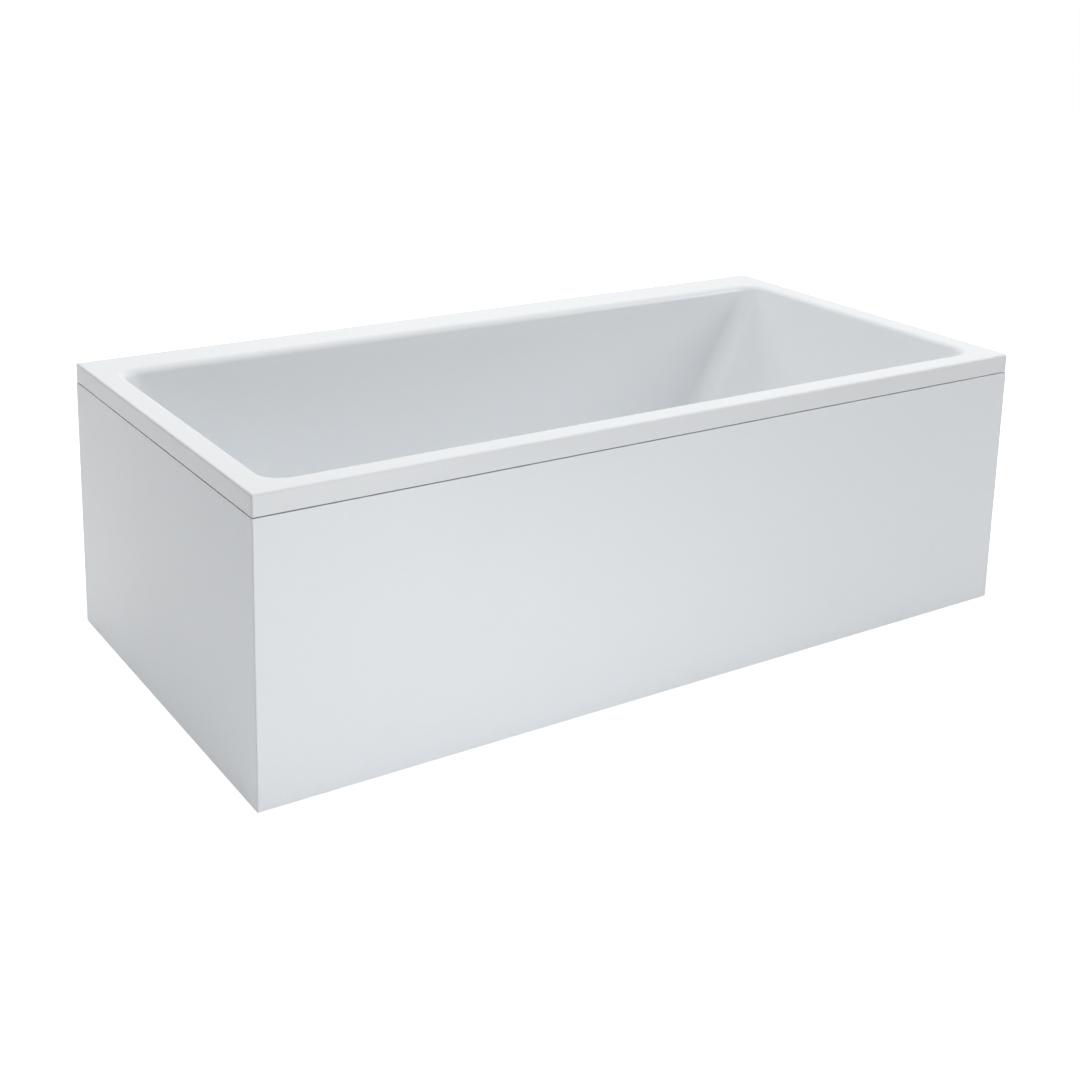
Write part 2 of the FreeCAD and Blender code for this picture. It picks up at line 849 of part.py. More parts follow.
def keep_one_side(body, side):
    """Cuts the L off at its mitre, so that one leg is left."""
    far = "(2 * panel_back)"
    if side == "front":
        points = [(f"drain_face - {far}", f"front_face - {far} - mitre_gap"),
                  (f"drain_face + {far}", f"front_face + {far} - mitre_gap"),
                  (f"drain_face + {far}", f"wall_face + {far}"),
                  (f"drain_face - {far}", f"wall_face + {far}")]
    else:
        points = [(f"drain_face - {far}", f"front_face - {far} + mitre_gap"),
                  (f"head_face + {far}", f"front_face - {far} + mitre_gap"),
                  (f"head_face + {far}", f"front_face + {far} + mitre_gap"),
                  (f"drain_face + {far}", f"front_face + {far} + mitre_gap")]
    sketch = polygon(sketch_on(body, "XY_Plane", "panel_lift"), points)
    return pocket_through(body, sketch)


def panel(side):
    """A thin acrylic panel with its top and bottom edges turned in."""
    body = new_body(f"{side}_panel")
    height = "panel_top - panel_lift"
    corner_strip(body, "0", "panel_skin", "panel_lift", height)
    corner_strip(body, "panel_skin", "panel_back", "panel_lift", "panel_lip")
    corner_strip(body, "panel_skin", "panel_back", "panel_top - panel_lip", "panel_lip")
    fillet(body, "panel_round", lambda b: inside(b, "drain_face", "drain_face", "front_face",
                                                 "front_face", 0.01))
    keep_one_side(body, side)
    return body


def panel_board(side):
    """The stiff board bonded to the back of a panel, between its turned-in edges."""
    body = new_body(f"{side}_panel_board")
    foot = "panel_lift + panel_lip"
    corner_strip(body, "panel_skin", "panel_back", foot, "panel_top - panel_lip - panel_lift - panel_lip")
    keep_one_side(body, side)
    return body


def apron_battens():
    """A post that joins the panels at the corner, and a rail behind each that hangs on brackets."""
    inside_x, inside_y = "drain_face + panel_back", "front_face + panel_back"
    foot = "rail_foot + seat_gap"
    start_x = f"{inside_x} + batten_thick + fitting_gap"
    start_y = f"{inside_y} + batten_thick + fitting_gap"
    lip = "(panel_lift + panel_lip)"
    return [
        box("corner_batten", inside_x, inside_y, lip, "batten_thick", "batten_thick",
            f"panel_top - panel_lip - {lip}"),
        box("front_hanging_rail", start_x, inside_y, foot, f"head_face - fitting_gap - ({start_x})",
            "batten_thick", "batten_height"),
        box("end_hanging_rail", inside_x, start_y, foot, "batten_thick",
            f"wall_face - fitting_gap - ({start_y})", "batten_height"),
    ]


def panel_brackets():
    """Short shelves under the base rail and the drain-end rail that carry the hanging rails."""
    reach = "frame_setback - panel_back - fitting_gap + tube_side"
    shelves = [
        box(f"front_bracket_{n}", f"{place_number} * shelf_pitch - shelf_width / 2",
            f"frame_front + tube_side - ({reach})", "rail_foot - shelf_thick", "shelf_width",
            reach, "shelf_thick")
        for n, place_number in enumerate((-1.5, -0.5, 0.5, 1.5), 1)
    ]
    shelves += [
        box(f"end_bracket_{n}", f"frame_drain + tube_side - ({reach})",
            f"{place_number} * end_shelf_pitch - shelf_width / 2", "rail_foot - shelf_thick", reach,
            "shelf_width", "shelf_thick")
        for n, place_number in enumerate((-0.5, 0.5), 1)
    ]
    return together("panel_brackets", shelves)


def magnets_and_keepers():
    """Magnet blocks on the posts' faces and the steel plates that they hold on the panels."""
    magnets, keepers = [], []
    levels = {"low": "rail_top + magnet_low_rise", "top": "panel_top - magnet_top_drop"}
    stands = [("front", f"{POST_ENDS[end]} + tube_side / 2") for end in POST_ENDS]
    stands += [("end", f"{POST_SIDES[side]} + tube_side / 2") for side in POST_SIDES]
    for n, (side, middle) in enumerate(stands, 1):
        low = f"{middle} - magnet_width / 2"
        for level, z in levels.items():
            name = f"{n}_{level}"
            if side == "front":
                magnets.append(box(f"magnet_{name}", low, "frame_front - magnet_depth", z,
                                   "magnet_width", "magnet_depth", "magnet_height"))
                keepers.append(box(f"keeper_{name}", low, "front_face + panel_back", z,
                                   "magnet_width", "keeper_thick", "magnet_height"))
            else:
                magnets.append(box(f"magnet_{name}", "frame_drain - magnet_depth", low, z,
                                   "magnet_depth", "magnet_width", "magnet_height"))
                keepers.append(box(f"keeper_{name}", "drain_face + panel_back", low, z,
                                   "keeper_thick", "magnet_width", "magnet_height"))
    return together("panel_magnets", magnets), together("panel_keepers", keepers)


# ---- overflow fitting ---------------------------------------------------------------------

def at_overflow(body):
    """Stands a body on the drain-end wall, its Z axis square to the wall into the bowl."""
    return place(body, "overflow_x", "bowl_middle", "overflow_z", "axis_lean", Vector(0, 1, 0))


def at_waste(body):
    """Stands a body on the floor of the waste recess."""
    return place(body, "drain_x", "bowl_middle", "recess_floor")


def ring(name, bore, radius, foot, top):
    return turned(name, [(bore, foot), (radius, foot), (radius, top), (bore, top)])


def spoked_guide(body, hub, bore, rim, top, length):
    """A hub on three spokes inside a sleeve, bored for what runs in it."""
    top, length = f"({top})", f"({length})"
    bar(body, "Additive", hub, length, "0", "0", f"{top} - {length}")
    spoke = polygon(sketch_on(body, "XY_Plane", f"{top} - spoke_thick"), [
        (f"{hub} / 2", "-spoke_width / 2"),
        (f"{rim} + spoke_bite", "-spoke_width / 2"),
        (f"{rim} + spoke_bite", "spoke_width / 2"),
        (f"{hub} / 2", "spoke_width / 2"),
    ])
    first = pad(body, spoke, "spoke_thick")
    doc.recompute()
    pattern = body.newObject("PartDesign::PolarPattern", body.Name + "_spokes")
    pattern.Originals = [first]
    upright = next(f for f in body.Origin.OriginFeatures if f.Role == "Z_Axis")
    pattern.Axis = (upright, [""])
    pattern.Angle = 360
    pattern.Occurrences = 3
    body.Tip = pattern
    bar(body, "Subtractive", bore, f"{length} + 2 * overrun", "0", "0",
        f"{top} - {length} - overrun")
    return body


def gaskets():
    """The rubber rings under the bowl at the overflow and at the waste."""
    overflow = ring("overflow_gasket", "overflow_hole", "gasket_radius",
                    "gasket_face - gasket_thick", "gasket_face")
    waste = ring("waste_gasket", "waste_hole", "gasket_radius",
                 "waste_gasket_face - gasket_thick", "waste_gasket_face")
    return together("fitting_gaskets", [at_overflow(overflow), at_waste(waste)])


def hollow(body, bore, mouth, base, face):
    """Empties a cup down to its base's wall, with a narrower threaded mouth."""
    bar(body, "Subtractive", bore, f"{face} - thread_length - ({base})", "0", "0", base)
    bar(body, "Subtractive", f"{mouth} + fitting_gap", "thread_length + overrun", "0", "0",
        f"{face} - thread_length")


def socket(body, seat, bore, from_radius, y, z, turn, axis, out_x="1", out_y="0"):
    """Bores a pipe socket: the pipe's seat outside a radius, its passage from the middle."""
    reach = f"{from_radius} + socket_length"
    bar(body, "Subtractive", bore, reach, "0", y, z, turn, axis)
    bar(body, "Subtractive", f"{seat} + fitting_gap", "socket_length + overrun",
        f"{out_x} * ({from_radius})", f"{y} + {out_y} * ({from_radius})", z, turn, axis)


ALONG_X = ("90 deg", Vector(0, 1, 0))
BACK_ALONG_X = ("-90 deg", Vector(0, 1, 0))
ALONG_Y = ("-90 deg", Vector(1, 0, 0))


def overflow_body():
    """The cup behind the overflow hole, with a pipe socket and a cable boss below."""
    body = turned("overflow_body", [
        ("0", "cup_back"),
        ("cup_radius", "cup_back"),
        ("cup_radius", "cup_face - cup_wall"),
        ("gasket_radius", "cup_face - cup_wall"),
        ("gasket_radius", "cup_face"),
        ("0", "cup_face"),
    ])
    full = "cup_radius + socket_length"
    bar(body, "Additive", "pipe_radius + socket_wall", full, "0", "0", "pipe_axis", *ALONG_X)
    bar(body, "Additive", "cable_boss", "cup_radius + cable_boss_length", "0", "cable_side",
        "cable_axis", *ALONG_X)
    hollow(body, "cup_radius - cup_wall", "sleeve_radius", "cup_back + cup_wall", "cup_face")
    socket(body, "pipe_radius", "pipe_bore", "cup_radius", "0", "pipe_axis", *ALONG_X)
    bar(body, "Subtractive", "cable_radius + fitting_gap", "2 * cup_radius", "0", "cable_side",
        "cable_axis", *ALONG_X)
    return at_overflow(body)


def overflow_clamp():
    """The ring inside the bowl that screws into the cup and carries the knob's shaft."""
    body = turned("overflow_clamp", [
        ("sleeve_bore", "sleeve_end"),
        ("sleeve_radius", "sleeve_end"),
        ("sleeve_radius", "fitting_gap"),
        ("clamp_radius", "fitting_gap"),
        ("clamp_radius", "fitting_gap + clamp_thick"),
        ("sleeve_bore", "fitting_gap + clamp_thick"),
    ])
    spoked_guide(body, "hub_radius", "shaft_bore", "sleeve_bore", "0", "hub_length")
    return at_overflow(body)


def overflow_knob():
    """The round knob over the overflow, with a grip bar, hollow behind."""
    under = "knob_top - knob_wall"
    body = turned("overflow_knob", [
        ("0", f"{under} + knob_seat"),
        ("shaft_bore", f"{under} + knob_seat"),
        ("shaft_bore", "knob_standoff"),
        ("hub_radius", "knob_standoff"),
        ("hub_radius", under),
        ("knob_radius - knob_wall", under),
        ("knob_radius - knob_wall", "knob_standoff"),
        ("knob_radius", "knob_standoff"),
        ("knob_radius", "knob_top"),
        ("0", "knob_top"),
    ])
    fillet(body, "knob_edge", lambda b: at_height(b, "knob_top"))
    grip = sketch_on(body, "XY_Plane", "knob_top - knob_seat")
    rounded_box(grip, "-grip_length / 2", "grip_length / 2", "-grip_width / 2", "grip_width / 2",
                "grip_round")
    pad(body, grip, "grip_height + knob_seat")
    fillet(body, "knob_edge", lambda b: at_height(b, "knob_top + grip_height"))
    return at_overflow(body)


def knob_shaft():
    """The knob's shaft with the cable drum on its end."""
    return at_overflow(turned("knob_shaft", [
        ("0", "shaft_end - cam_thick / 2"),
        ("cam_radius", "shaft_end - cam_thick / 2"),
        ("cam_radius", "shaft_end + cam_thick / 2"),
        ("shaft_radius", "shaft_end + cam_thick / 2"),
        ("shaft_radius", "knob_top - knob_wall + knob_seat"),
        ("0", "knob_top - knob_wall + knob_seat"),
    ]))


def swept(name, radius, bore, side, axis_height, start, bend, drop, end_gap):
    """A pipe or cable down the drain-end wall, round a bend and level to the waste's side."""
    body = new_body(name)
    level = f"(recess_floor - {drop})"
    corner = f"((overflow_z + ({axis_height}) * drain_lean / lean_length - {level}) * lean_length)"
    corner_x = f"(overflow_x + ({axis_height}) / lean_length + {corner} * drain_lean / lean_length)"
    setback = f"({bend} * tan((axis_lean) / 2))"
    run = f"(drain_x - {end_gap} - {corner_x})"

    def level_point(distance):
        return (f"{corner} + {distance} * drain_lean / lean_length",
                f"{axis_height} + {distance} / lean_length")

    spots = [(start, axis_height), (f"{corner} - {setback}", axis_height),
             level_point(setback), level_point(run)]
    values = [Vector(measure(x), measure(y), 0) for x, y in spots]
    path = sketch_on(body, "XZ_Plane", f"-({side})")
    turn = math.radians(measure("axis_lean"))
    centre = values[1] + Vector(0, measure(bend), 0)
    path.addGeometry(Part.LineSegment(values[0], values[1]))
    circle = Part.Circle(centre, Vector(0, 0, 1), measure(bend))
    path.addGeometry(Part.ArcOfCircle(circle, -math.pi / 2, -math.pi / 2 + turn))
    path.addGeometry(Part.LineSegment(values[2], values[3]))
    pin(path, 0, 1, *spots[0])
    pin(path, 0, 2, *spots[1])
    pin(path, 2, 1, *spots[2])
    pin(path, 2, 2, *spots[3])
    path.addConstraint(Sketcher.Constraint("Coincident", 0, 2, 1, 1))
    path.addConstraint(Sketcher.Constraint("Coincident", 1, 2, 2, 1))
    number = path.addConstraint(Sketcher.Constraint("DistanceX", -1, 1, 1, 3, centre.x))
    bind(path, f"Constraints[{number}]", spots[1][0])
    profile = sketch_on(body, "YZ_Plane", start)
    for size in (radius, bore):
        if size is None:
            continue
        hub = Vector(measure(side), measure(axis_height), 0)
        number = profile.addGeometry(Part.Circle(hub, Vector(0, 0, 1), measure(size)))
        pin(profile, number, 3, side, axis_height)
        held = profile.addConstraint(Sketcher.Constraint("Radius", number, measure(size)))
        bind(profile, f"Constraints[{held}]", size)
    doc.recompute()
    pipe = body.newObject("PartDesign::AdditivePipe", name + "_sweep")
    pipe.Profile = profile
    pipe.Spine = path
    return at_overflow(body)


def overflow_pipe():
    return swept("overflow_pipe", "pipe_radius", "pipe_bore", "0", "pipe_axis",
                 "cup_radius + seat_gap", "pipe_bend", "inlet_drop", "waste_radius - seat_gap")


def plug_cable():
    """The sheathed cable from the knob's drum to the waste."""
    return swept("plug_cable", "cable_radius", None, "cable_side", "cable_axis",
                 "cup_radius", "cable_bend", "cable_drop", "waste_radius")


# ---- waste, trap and outlet ---------------------------------------------------------------

def waste_body():
    """The cup under the waste hole: overflow inlet and cable boss one side, outlet the other."""
    body = turned("waste_body", [
        ("0", "waste_base"),
        ("waste_radius", "waste_base"),
        ("waste_radius", "waste_face - waste_wall"),
        ("gasket_radius", "waste_face - waste_wall"),
        ("gasket_radius", "waste_face"),
        ("0", "waste_face"),
    ])
    full = "waste_radius + socket_length"
    bar(body, "Additive", "pipe_radius + socket_wall", full, "0", "0", "-inlet_drop", *BACK_ALONG_X)
    bar(body, "Additive", "drain_pipe_radius + socket_wall", full, "0", "0", "-outlet_drop", *ALONG_X)
    bar(body, "Additive", "cable_boss", "waste_radius + cable_boss_length", "0", "cable_side",
        "-cable_drop", *BACK_ALONG_X)
    hollow(body, "waste_radius - waste_wall", "throat_radius", "waste_base + waste_wall",
           "waste_face")
    socket(body, "pipe_radius", "pipe_bore", "waste_radius", "0", "-inlet_drop", *BACK_ALONG_X,
           out_x="-1")
    socket(body, "drain_pipe_radius", "drain_pipe_bore", "waste_radius", "0", "-outlet_drop",
           *ALONG_X)
    bar(body, "Subtractive", "cable_radius + fitting_gap", "2 * waste_radius", "0", "cable_side",
        "-cable_drop", *BACK_ALONG_X)
    return at_waste(body)


def waste_flange():
    """The metal flange in the recess, its throat and the plug's spoked guide."""
    body = turned("waste_flange", [
        ("throat_bore", "throat_end"),
        ("throat_radius", "throat_end"),
        ("throat_radius", "fitting_gap"),
        ("flange_radius", "fitting_gap"),
        ("flange_radius", "flange_top"),
        ("throat_bore", "flange_top"),
    ])
    spoked_guide(body, "guide_radius", "stem_bore", "throat_bore", "flange_top - hub_length",
                 "hub_length - throat_wall")
    return at_waste(body)


def plug_pieces():
    """The lift-up plug: cap, sealing ring and stem."""
    cap = turned("plug_cap", [
        ("0", "stem_top"),
        ("plug_boss", "stem_top"),
        ("plug_boss", "plug_foot"),
        ("plug_radius", "plug_foot"),
        ("plug_radius", "plug_foot + plug_thick"),
        ("0", "plug_foot + plug_thick"),
    ])
    fillet(cap, "plug_edge", lambda b: at_height(b, "plug_foot + plug_thick"))
    seal = ring("plug_seal", "plug_boss + fitting_gap", "plug_boss + seal_width",
                "flange_top + seat_gap", "plug_foot")
    stem = turned("plug_stem", [
        ("0", "stem_top - stem_length"),
        ("stem_radius", "stem_top - stem_length"),
        ("stem_radius", "stem_top"),
        ("0", "stem_top"),
    ])
    return [at_waste(piece) for piece in (cap, seal, stem)]


def pipe(name, length, x, y, z, turn, axis, stop=None):
    """A straight length of drain pipe; a pipe along Y may have a ring that stops at a place."""
    outside = rod(name + "_outside", "drain_pipe_radius", length, x, y, z, turn, axis)
    if stop:
        ring = rod(name + "_ring", "drain_pipe_radius + stop_ring", "stop_width", x,
                   f"{stop} - stop_width", z, turn, axis)
        outside = fuse(name + "_spigot", [outside, ring])
    bore = rod(name + "_bore", "drain_pipe_bore", length, x, y, z, turn, axis)
    return cut(name, outside, bore)


def trap_cup():
    """The bottle trap's cup, with its inlet low over the outlet to keep a water seal."""
    body = turned("trap_cup", [
        ("0", "trap_base"),
        ("trap_radius", "trap_base"),
        ("trap_radius", "trap_top - trap_cap"),
        ("0", "trap_top - trap_cap"),
    ])
    full = "trap_radius + socket_length"
    outside = "drain_pipe_radius + socket_wall"
    bar(body, "Additive", outside, full, "0", "0", "outlet_height", *ALONG_Y)
    bar(body, "Additive", outside, full, "0", "0", "trap_inlet", *BACK_ALONG_X)
    bar(body, "Subtractive", "trap_radius - trap_wall", "trap_depth", "0", "0",
        "trap_base + trap_wall")
    socket(body, "drain_pipe_radius", "drain_pipe_bore", "trap_radius", "0", "outlet_height",
           *ALONG_Y, out_x="0", out_y="1")
    socket(body, "drain_pipe_radius", "drain_pipe_bore", "trap_radius", "0", "trap_inlet",
           *BACK_ALONG_X, out_x="-1")
    return place(body, "trap_x", "bowl_middle", "0")


def dip_tube():
    """The trap's cap with the tube that carries the water down below the outlet."""
    foot = "trap_base + trap_wall + dip_rise"
    body = turned("dip_tube", [
        ("0", foot),
        ("drain_pipe_radius", foot),
        ("drain_pipe_radius", "trap_top - trap_cap"),
        ("trap_radius", "trap_top - trap_cap"),
        ("trap_radius", "trap_top"),
        ("0", "trap_top"),
    ])
    to_wall = "sqrt((trap_radius - trap_wall)^2 - drain_pipe_radius^2) - seat_gap"
    bar(body, "Additive", "drain_pipe_radius", to_wall, "0", "0", "trap_inlet", *BACK_ALONG_X)
    bar(body, "Subtractive", "drain_pipe_bore", f"trap_top - trap_cap - ({foot})", "0", "0", foot)
    bar(body, "Subtractive", "drain_pipe_bore", "trap_radius", "0", "0", "trap_inlet",
        *BACK_ALONG_X)
    return place(body, "trap_x", "bowl_middle", "0")


def straight_pipes():
    """The pipe from the waste to the trap, and the outlet pipe with a stop ring at its spigot."""
    drain = pipe("drain_pipe", "trap_reach - trap_radius - waste_radius - 2 * seat_gap",
                 "drain_x + waste_radius + seat_gap", "bowl_middle", "trap_inlet", *ALONG_X)
    outlet = pipe("outlet_pipe", "pipe_end - bowl_middle - trap_radius - seat_gap", "trap_x",
                  "bowl_middle + trap_radius + seat_gap", "outlet_height", *ALONG_Y,
                  stop="pipe_end - spigot_length")
    return [drain, outlet]


def union_nut(name, size, x, y, z, turn, axis):
    """A slip nut whose lip closes a socket's end round its pipe."""
    seat = f"{size} + socket_wall + fitting_gap"
    points = [
        (seat, "-socket_length / 2"),
        (f"{seat} + union_wall", "-socket_length / 2"),
        (f"{seat} + union_wall", "fitting_gap + union_lip"),
        (f"{size} + fitting_gap", "fitting_gap + union_lip"),
        (f"{size} + fitting_gap", "fitting_gap"),
        (seat, "fitting_gap"),
    ]
    body = turned(name, points)
    return place(body, x, y, z, turn, axis)


def union_nuts():
    """One slip nut on each of the five pipe sockets."""
    reach = "(cup_radius + socket_length)"
    nuts = [
        union_nut("cup_nut", "pipe_radius",
                  f"overflow_x + pipe_axis / lean_length + {reach} * drain_lean / lean_length",
                  "bowl_middle",
                  f"overflow_z + pipe_axis * drain_lean / lean_length - {reach} / lean_length",
                  "axis_lean + 90 deg", Vector(0, 1, 0)),
        union_nut("inlet_nut", "pipe_radius", "drain_x - waste_radius - socket_length",
                  "bowl_middle", "recess_floor - inlet_drop", *BACK_ALONG_X),
        union_nut("waste_nut", "drain_pipe_radius",
                  "drain_x + waste_radius + socket_length", "bowl_middle", "trap_inlet", *ALONG_X),
        union_nut("trap_nut", "drain_pipe_radius",
                  "trap_x - trap_radius - socket_length", "bowl_middle", "trap_inlet",
                  *BACK_ALONG_X),
        union_nut("outlet_nut", "drain_pipe_radius", "trap_x",
                  "bowl_middle + trap_radius + socket_length", "outlet_height", *ALONG_Y),
    ]
    return together("union_nuts", nuts)


# ---- all nodes ----------------------------------------------------------------------------

nodes = [
    tub_shell(),
    glass_fibre_backing(),
    base_board(),
    *long_rails(),
    *cross_rails(),
    *posts(),
    board_screws(),
    foot_inserts(),
    lock_nuts(),
    *feet(),
    wall_anchors(),
    panel("front"),
    panel("end"),
    panel_board("front"),
    panel_board("end"),
    *apron_battens(),
    panel_brackets(),
    *magnets_and_keepers(),
    gaskets(),
    overflow_body(),
    overflow_clamp(),
    overflow_knob(),
    knob_shaft(),
    overflow_pipe(),
    plug_cable(),
    waste_body(),
    waste_flange(),
    *plug_pieces(),
    trap_cup(),
    dip_tube(),
    *straight_pipes(),
    union_nuts(),
]
doc.recompute()

for thing in doc.Objects:
    if "Invalid" in thing.State or "Error" in thing.State:
        raise RuntimeError(f"{thing.Name} did not build: {thing.State}")
for node in nodes:
    if node.Shape.isNull() or not node.Shape.isValid():
        raise RuntimeError(f"{node.Label} has no valid shape")

os.makedirs("parts", exist_ok=True)
for node in nodes:
    node.Shape.exportStep(f"parts/{node.Label}.step")
print(len(nodes), "nodes written")
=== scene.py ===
import json
import math

import bmesh
import bpy
from mathutils import Matrix, Vector


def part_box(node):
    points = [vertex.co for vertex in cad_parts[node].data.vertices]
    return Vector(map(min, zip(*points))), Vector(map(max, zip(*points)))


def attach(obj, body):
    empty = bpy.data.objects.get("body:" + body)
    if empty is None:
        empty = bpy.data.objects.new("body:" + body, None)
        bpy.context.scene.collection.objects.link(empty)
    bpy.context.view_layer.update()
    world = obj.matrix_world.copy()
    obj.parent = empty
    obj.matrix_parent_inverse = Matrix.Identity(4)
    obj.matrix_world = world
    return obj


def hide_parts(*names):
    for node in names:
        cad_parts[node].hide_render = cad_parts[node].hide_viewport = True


# A white built-in bathtub with an L-shaped apron, on its steel frame. Metres and degrees.
# X runs from the drain end to the head end, Y from the room to the wall, Z up.

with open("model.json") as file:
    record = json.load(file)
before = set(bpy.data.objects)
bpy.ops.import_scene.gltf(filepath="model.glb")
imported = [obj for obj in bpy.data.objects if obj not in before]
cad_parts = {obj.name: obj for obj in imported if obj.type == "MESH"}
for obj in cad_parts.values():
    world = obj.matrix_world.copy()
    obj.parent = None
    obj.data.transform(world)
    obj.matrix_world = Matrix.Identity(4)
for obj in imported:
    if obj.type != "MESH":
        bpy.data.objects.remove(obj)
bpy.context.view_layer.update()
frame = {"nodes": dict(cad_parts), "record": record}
print("frame loaded:", len(frame["nodes"]), "nodes")


def addObject(name, data):
    made = bpy.data.objects.new(name, data)
    bpy.context.scene.collection.objects.link(made)
    return made


# the camera is placed first, and everything else is judged through it
photoView = {
    "place": (-1.901, -2.7962, 1.5226),
    "heading": -33.5323,  # from +Y, below zero to the right
    "pitch": -13.6393,
    "roll": 1.3593,
    "lens": 54.5477,
    "sensor": 36.0,
    "shift": (0.0, -0.22),
    "farthest": 60.0,
}


def makeCamera(values):
    data = bpy.data.cameras.new("photoCamera")
    data.lens = values["lens"]
    data.sensor_width = values["sensor"]
    data.sensor_fit = "HORIZONTAL"
    data.shift_x, data.shift_y = values["shift"]
    data.clip_end = values["farthest"]
    camera = addObject("photoCamera", data)
    turn = Matrix.Rotation(math.radians(values["heading"]), 4, "Z")
    tilt = Matrix.Rotation(math.radians(90 + values["pitch"]), 4, "X")
    roll = Matrix.Rotation(math.radians(values["roll"]), 4, "Z")
    camera.matrix_world = Matrix.Translation(values["place"]) @ turn @ tilt @ roll
    bpy.context.scene.camera = camera


makeCamera(photoView)
print("camera placed")


# material helpers: each finish is a principled shader fed from object coordinates

def newMaterial(name):
    made = bpy.data.materials.new(name)
    made.use_nodes = True
    shader = next(n for n in made.node_tree.nodes if n.type == "BSDF_PRINCIPLED")
    return made, made.node_tree, shader


# each input is linked to another node's output or set to a plain value
def feed(tree, node, inputs):
    for name, source in inputs.items():
        if hasattr(source, "is_output"):
            tree.links.new(source, node.inputs[name])
        else:
            node.inputs[name].default_value = source


# one more node on a shader or geometry tree
def grow(tree, kind, inputs=None, **settings):
    node = tree.nodes.new(kind)
    for name, value in settings.items():
        setattr(node, name, value)
    feed(tree, node, inputs or {})
    return node


def objectCoords(tree, stretch=(1, 1, 1)):
    place = tree.nodes.new("ShaderNodeTexCoord").outputs["Object"]
    return grow(tree, "ShaderNodeMapping", {"Vector": place, "Scale": stretch}).outputs["Vector"]


def noise(tree, vector, scale, detail=4.0, roughness=0.55, distortion=0.0):
    return grow(tree, "ShaderNodeTexNoise",
                {"Vector": vector, "Scale": scale, "Detail": detail, "Roughness": roughness,
                 "Distortion": distortion}).outputs["Fac"]


def cells(tree, vector, scale, feature="F1"):
    return grow(tree, "ShaderNodeTexVoronoi", {"Vector": vector, "Scale": scale}, feature=feature)


# colours along a factor, each at its place on the band
def ramp(tree, factor, colours, places=(0.35, 0.65)):
    node = grow(tree, "ShaderNodeValToRGB", {"Fac": factor})
    band = node.color_ramp
    while len(band.elements) < len(colours):
        band.elements.new(0.5)
    for element, colour, place in zip(band.elements, colours, places):
        element.position = place
        element.color = (*colour, 1)
    return node.outputs["Color"]


def mapRange(tree, factor, low, high, fromLow=0.0, fromHigh=1.0):
    return grow(tree, "ShaderNodeMapRange",
                {"Value": factor, "From Min": fromLow, "From Max": fromHigh, "To Min": low,
                 "To Max": high}).outputs["Result"]


def bump(tree, height, strength, distance, under=None):
    inputs = {"Height": height, "Strength": strength, "Distance": distance}
    if under is not None:
        inputs["Normal"] = under
    return grow(tree, "ShaderNodeBump", inputs).outputs["Normal"]


def shaded(colour, share):
    return tuple(channel * share for channel in colour)


# in the looks below a noise is its scale, detail, roughness and distortion, and a bump is its
# strength and depth

# cast acrylic sheet: satin white, with the long soft waves of a vacuum-formed sheet
acrylicLook = {
    # the shell's white is set below the panel's as painted shade, so its skirt and bowl come out
    # darker than the panel
    "shell": (0.822, 0.843, 0.86),
    "panel": (0.85, 0.884, 0.912),
    "shellRoughness": (0.27, 0.35),
    "panelRoughness": (0.28, 0.38),
    "shade": 0.985,
    "shadeNoise": (1.3, 2.0, 0.4),
    "rubNoise": (3.0, 3.0, 0.5),
    "waveNoise": (1.6, 0.0),
    "shellWaveBump": (1.0, 0.0003),
    "panelWaveBump": (1.0, 0.0007),
    "peelNoise": (260.0, 1.0, 0.5),
    "peelBump": (1.0, 0.000008),
    "ior": 1.49,
    "coatWeight": 0.12,
    "coatRoughness": 0.2,
}


def acrylic(name, colour, roughness, waveBump):
    made, tree, shader = newMaterial(name)
    look, coords = acrylicLook, objectCoords(tree)
    cloud = noise(tree, coords, *look["shadeNoise"])
    rub = noise(tree, coords, *look["rubNoise"])
    wave = bump(tree, noise(tree, coords, *look["waveNoise"]), *waveBump)
    peel = noise(tree, coords, *look["peelNoise"])
    feed(tree, shader, {
        "Base Color": ramp(tree, cloud, (shaded(colour, look["shade"]), colour), (0.0, 1.0)),
        "Roughness": mapRange(tree, rub, *roughness),
        "Normal": bump(tree, peel, *look["peelBump"], wave),
        "IOR": look["ior"],
        "Coat Weight": look["coatWeight"],
        "Coat Roughness": look["coatRoughness"],
    })
    return made


# sprayed resin with chopped strands in it
resinLook = {
    "blotchNoise": (6.0, 6.0, 0.62),
    "bands": (0.32, 0.5, 0.68),
    "roughness": (0.3, 0.55),
    "matScale": 90.0,
    "matBump": (0.5, 0.0012),
    "fineNoise": (240.0, 5.0, 0.7, 0.6),
    "fineBump": (0.7, 0.0008),
}


def glassFibre(name, light, middle, dark):
    made, tree, shader = newMaterial(name)
    look, coords = resinLook, objectCoords(tree)
    blotch = noise(tree, coords, *look["blotchNoise"])
    mat = cells(tree, coords, look["matScale"], "DISTANCE_TO_EDGE").outputs["Distance"]
    fine = noise(tree, coords, *look["fineNoise"])
    under = bump(tree, mat, *look["matBump"])
    feed(tree, shader, {
        "Base Color": ramp(tree, blotch, (dark, middle, light), look["bands"]),
        "Roughness": mapRange(tree, blotch, *look["roughness"]),
        "Normal": bump(tree, fine, *look["fineBump"], under),
    })
    return made


boardLook = {
    "colours": ((0.40, 0.27, 0.15), (0.58, 0.43, 0.26), (0.72, 0.57, 0.38)),
    "bands": (0.1, 0.45, 0.9),
    "chipStretch": (1.0, 0.45, 1.6),
    "chipScale": 260.0,
    "chipBump": (0.4, 0.0004),
    "roughNoise": (320.0, 4.0, 0.6),
    "roughBump": (0.4, 0.0003),
    "roughness": 0.72,
}


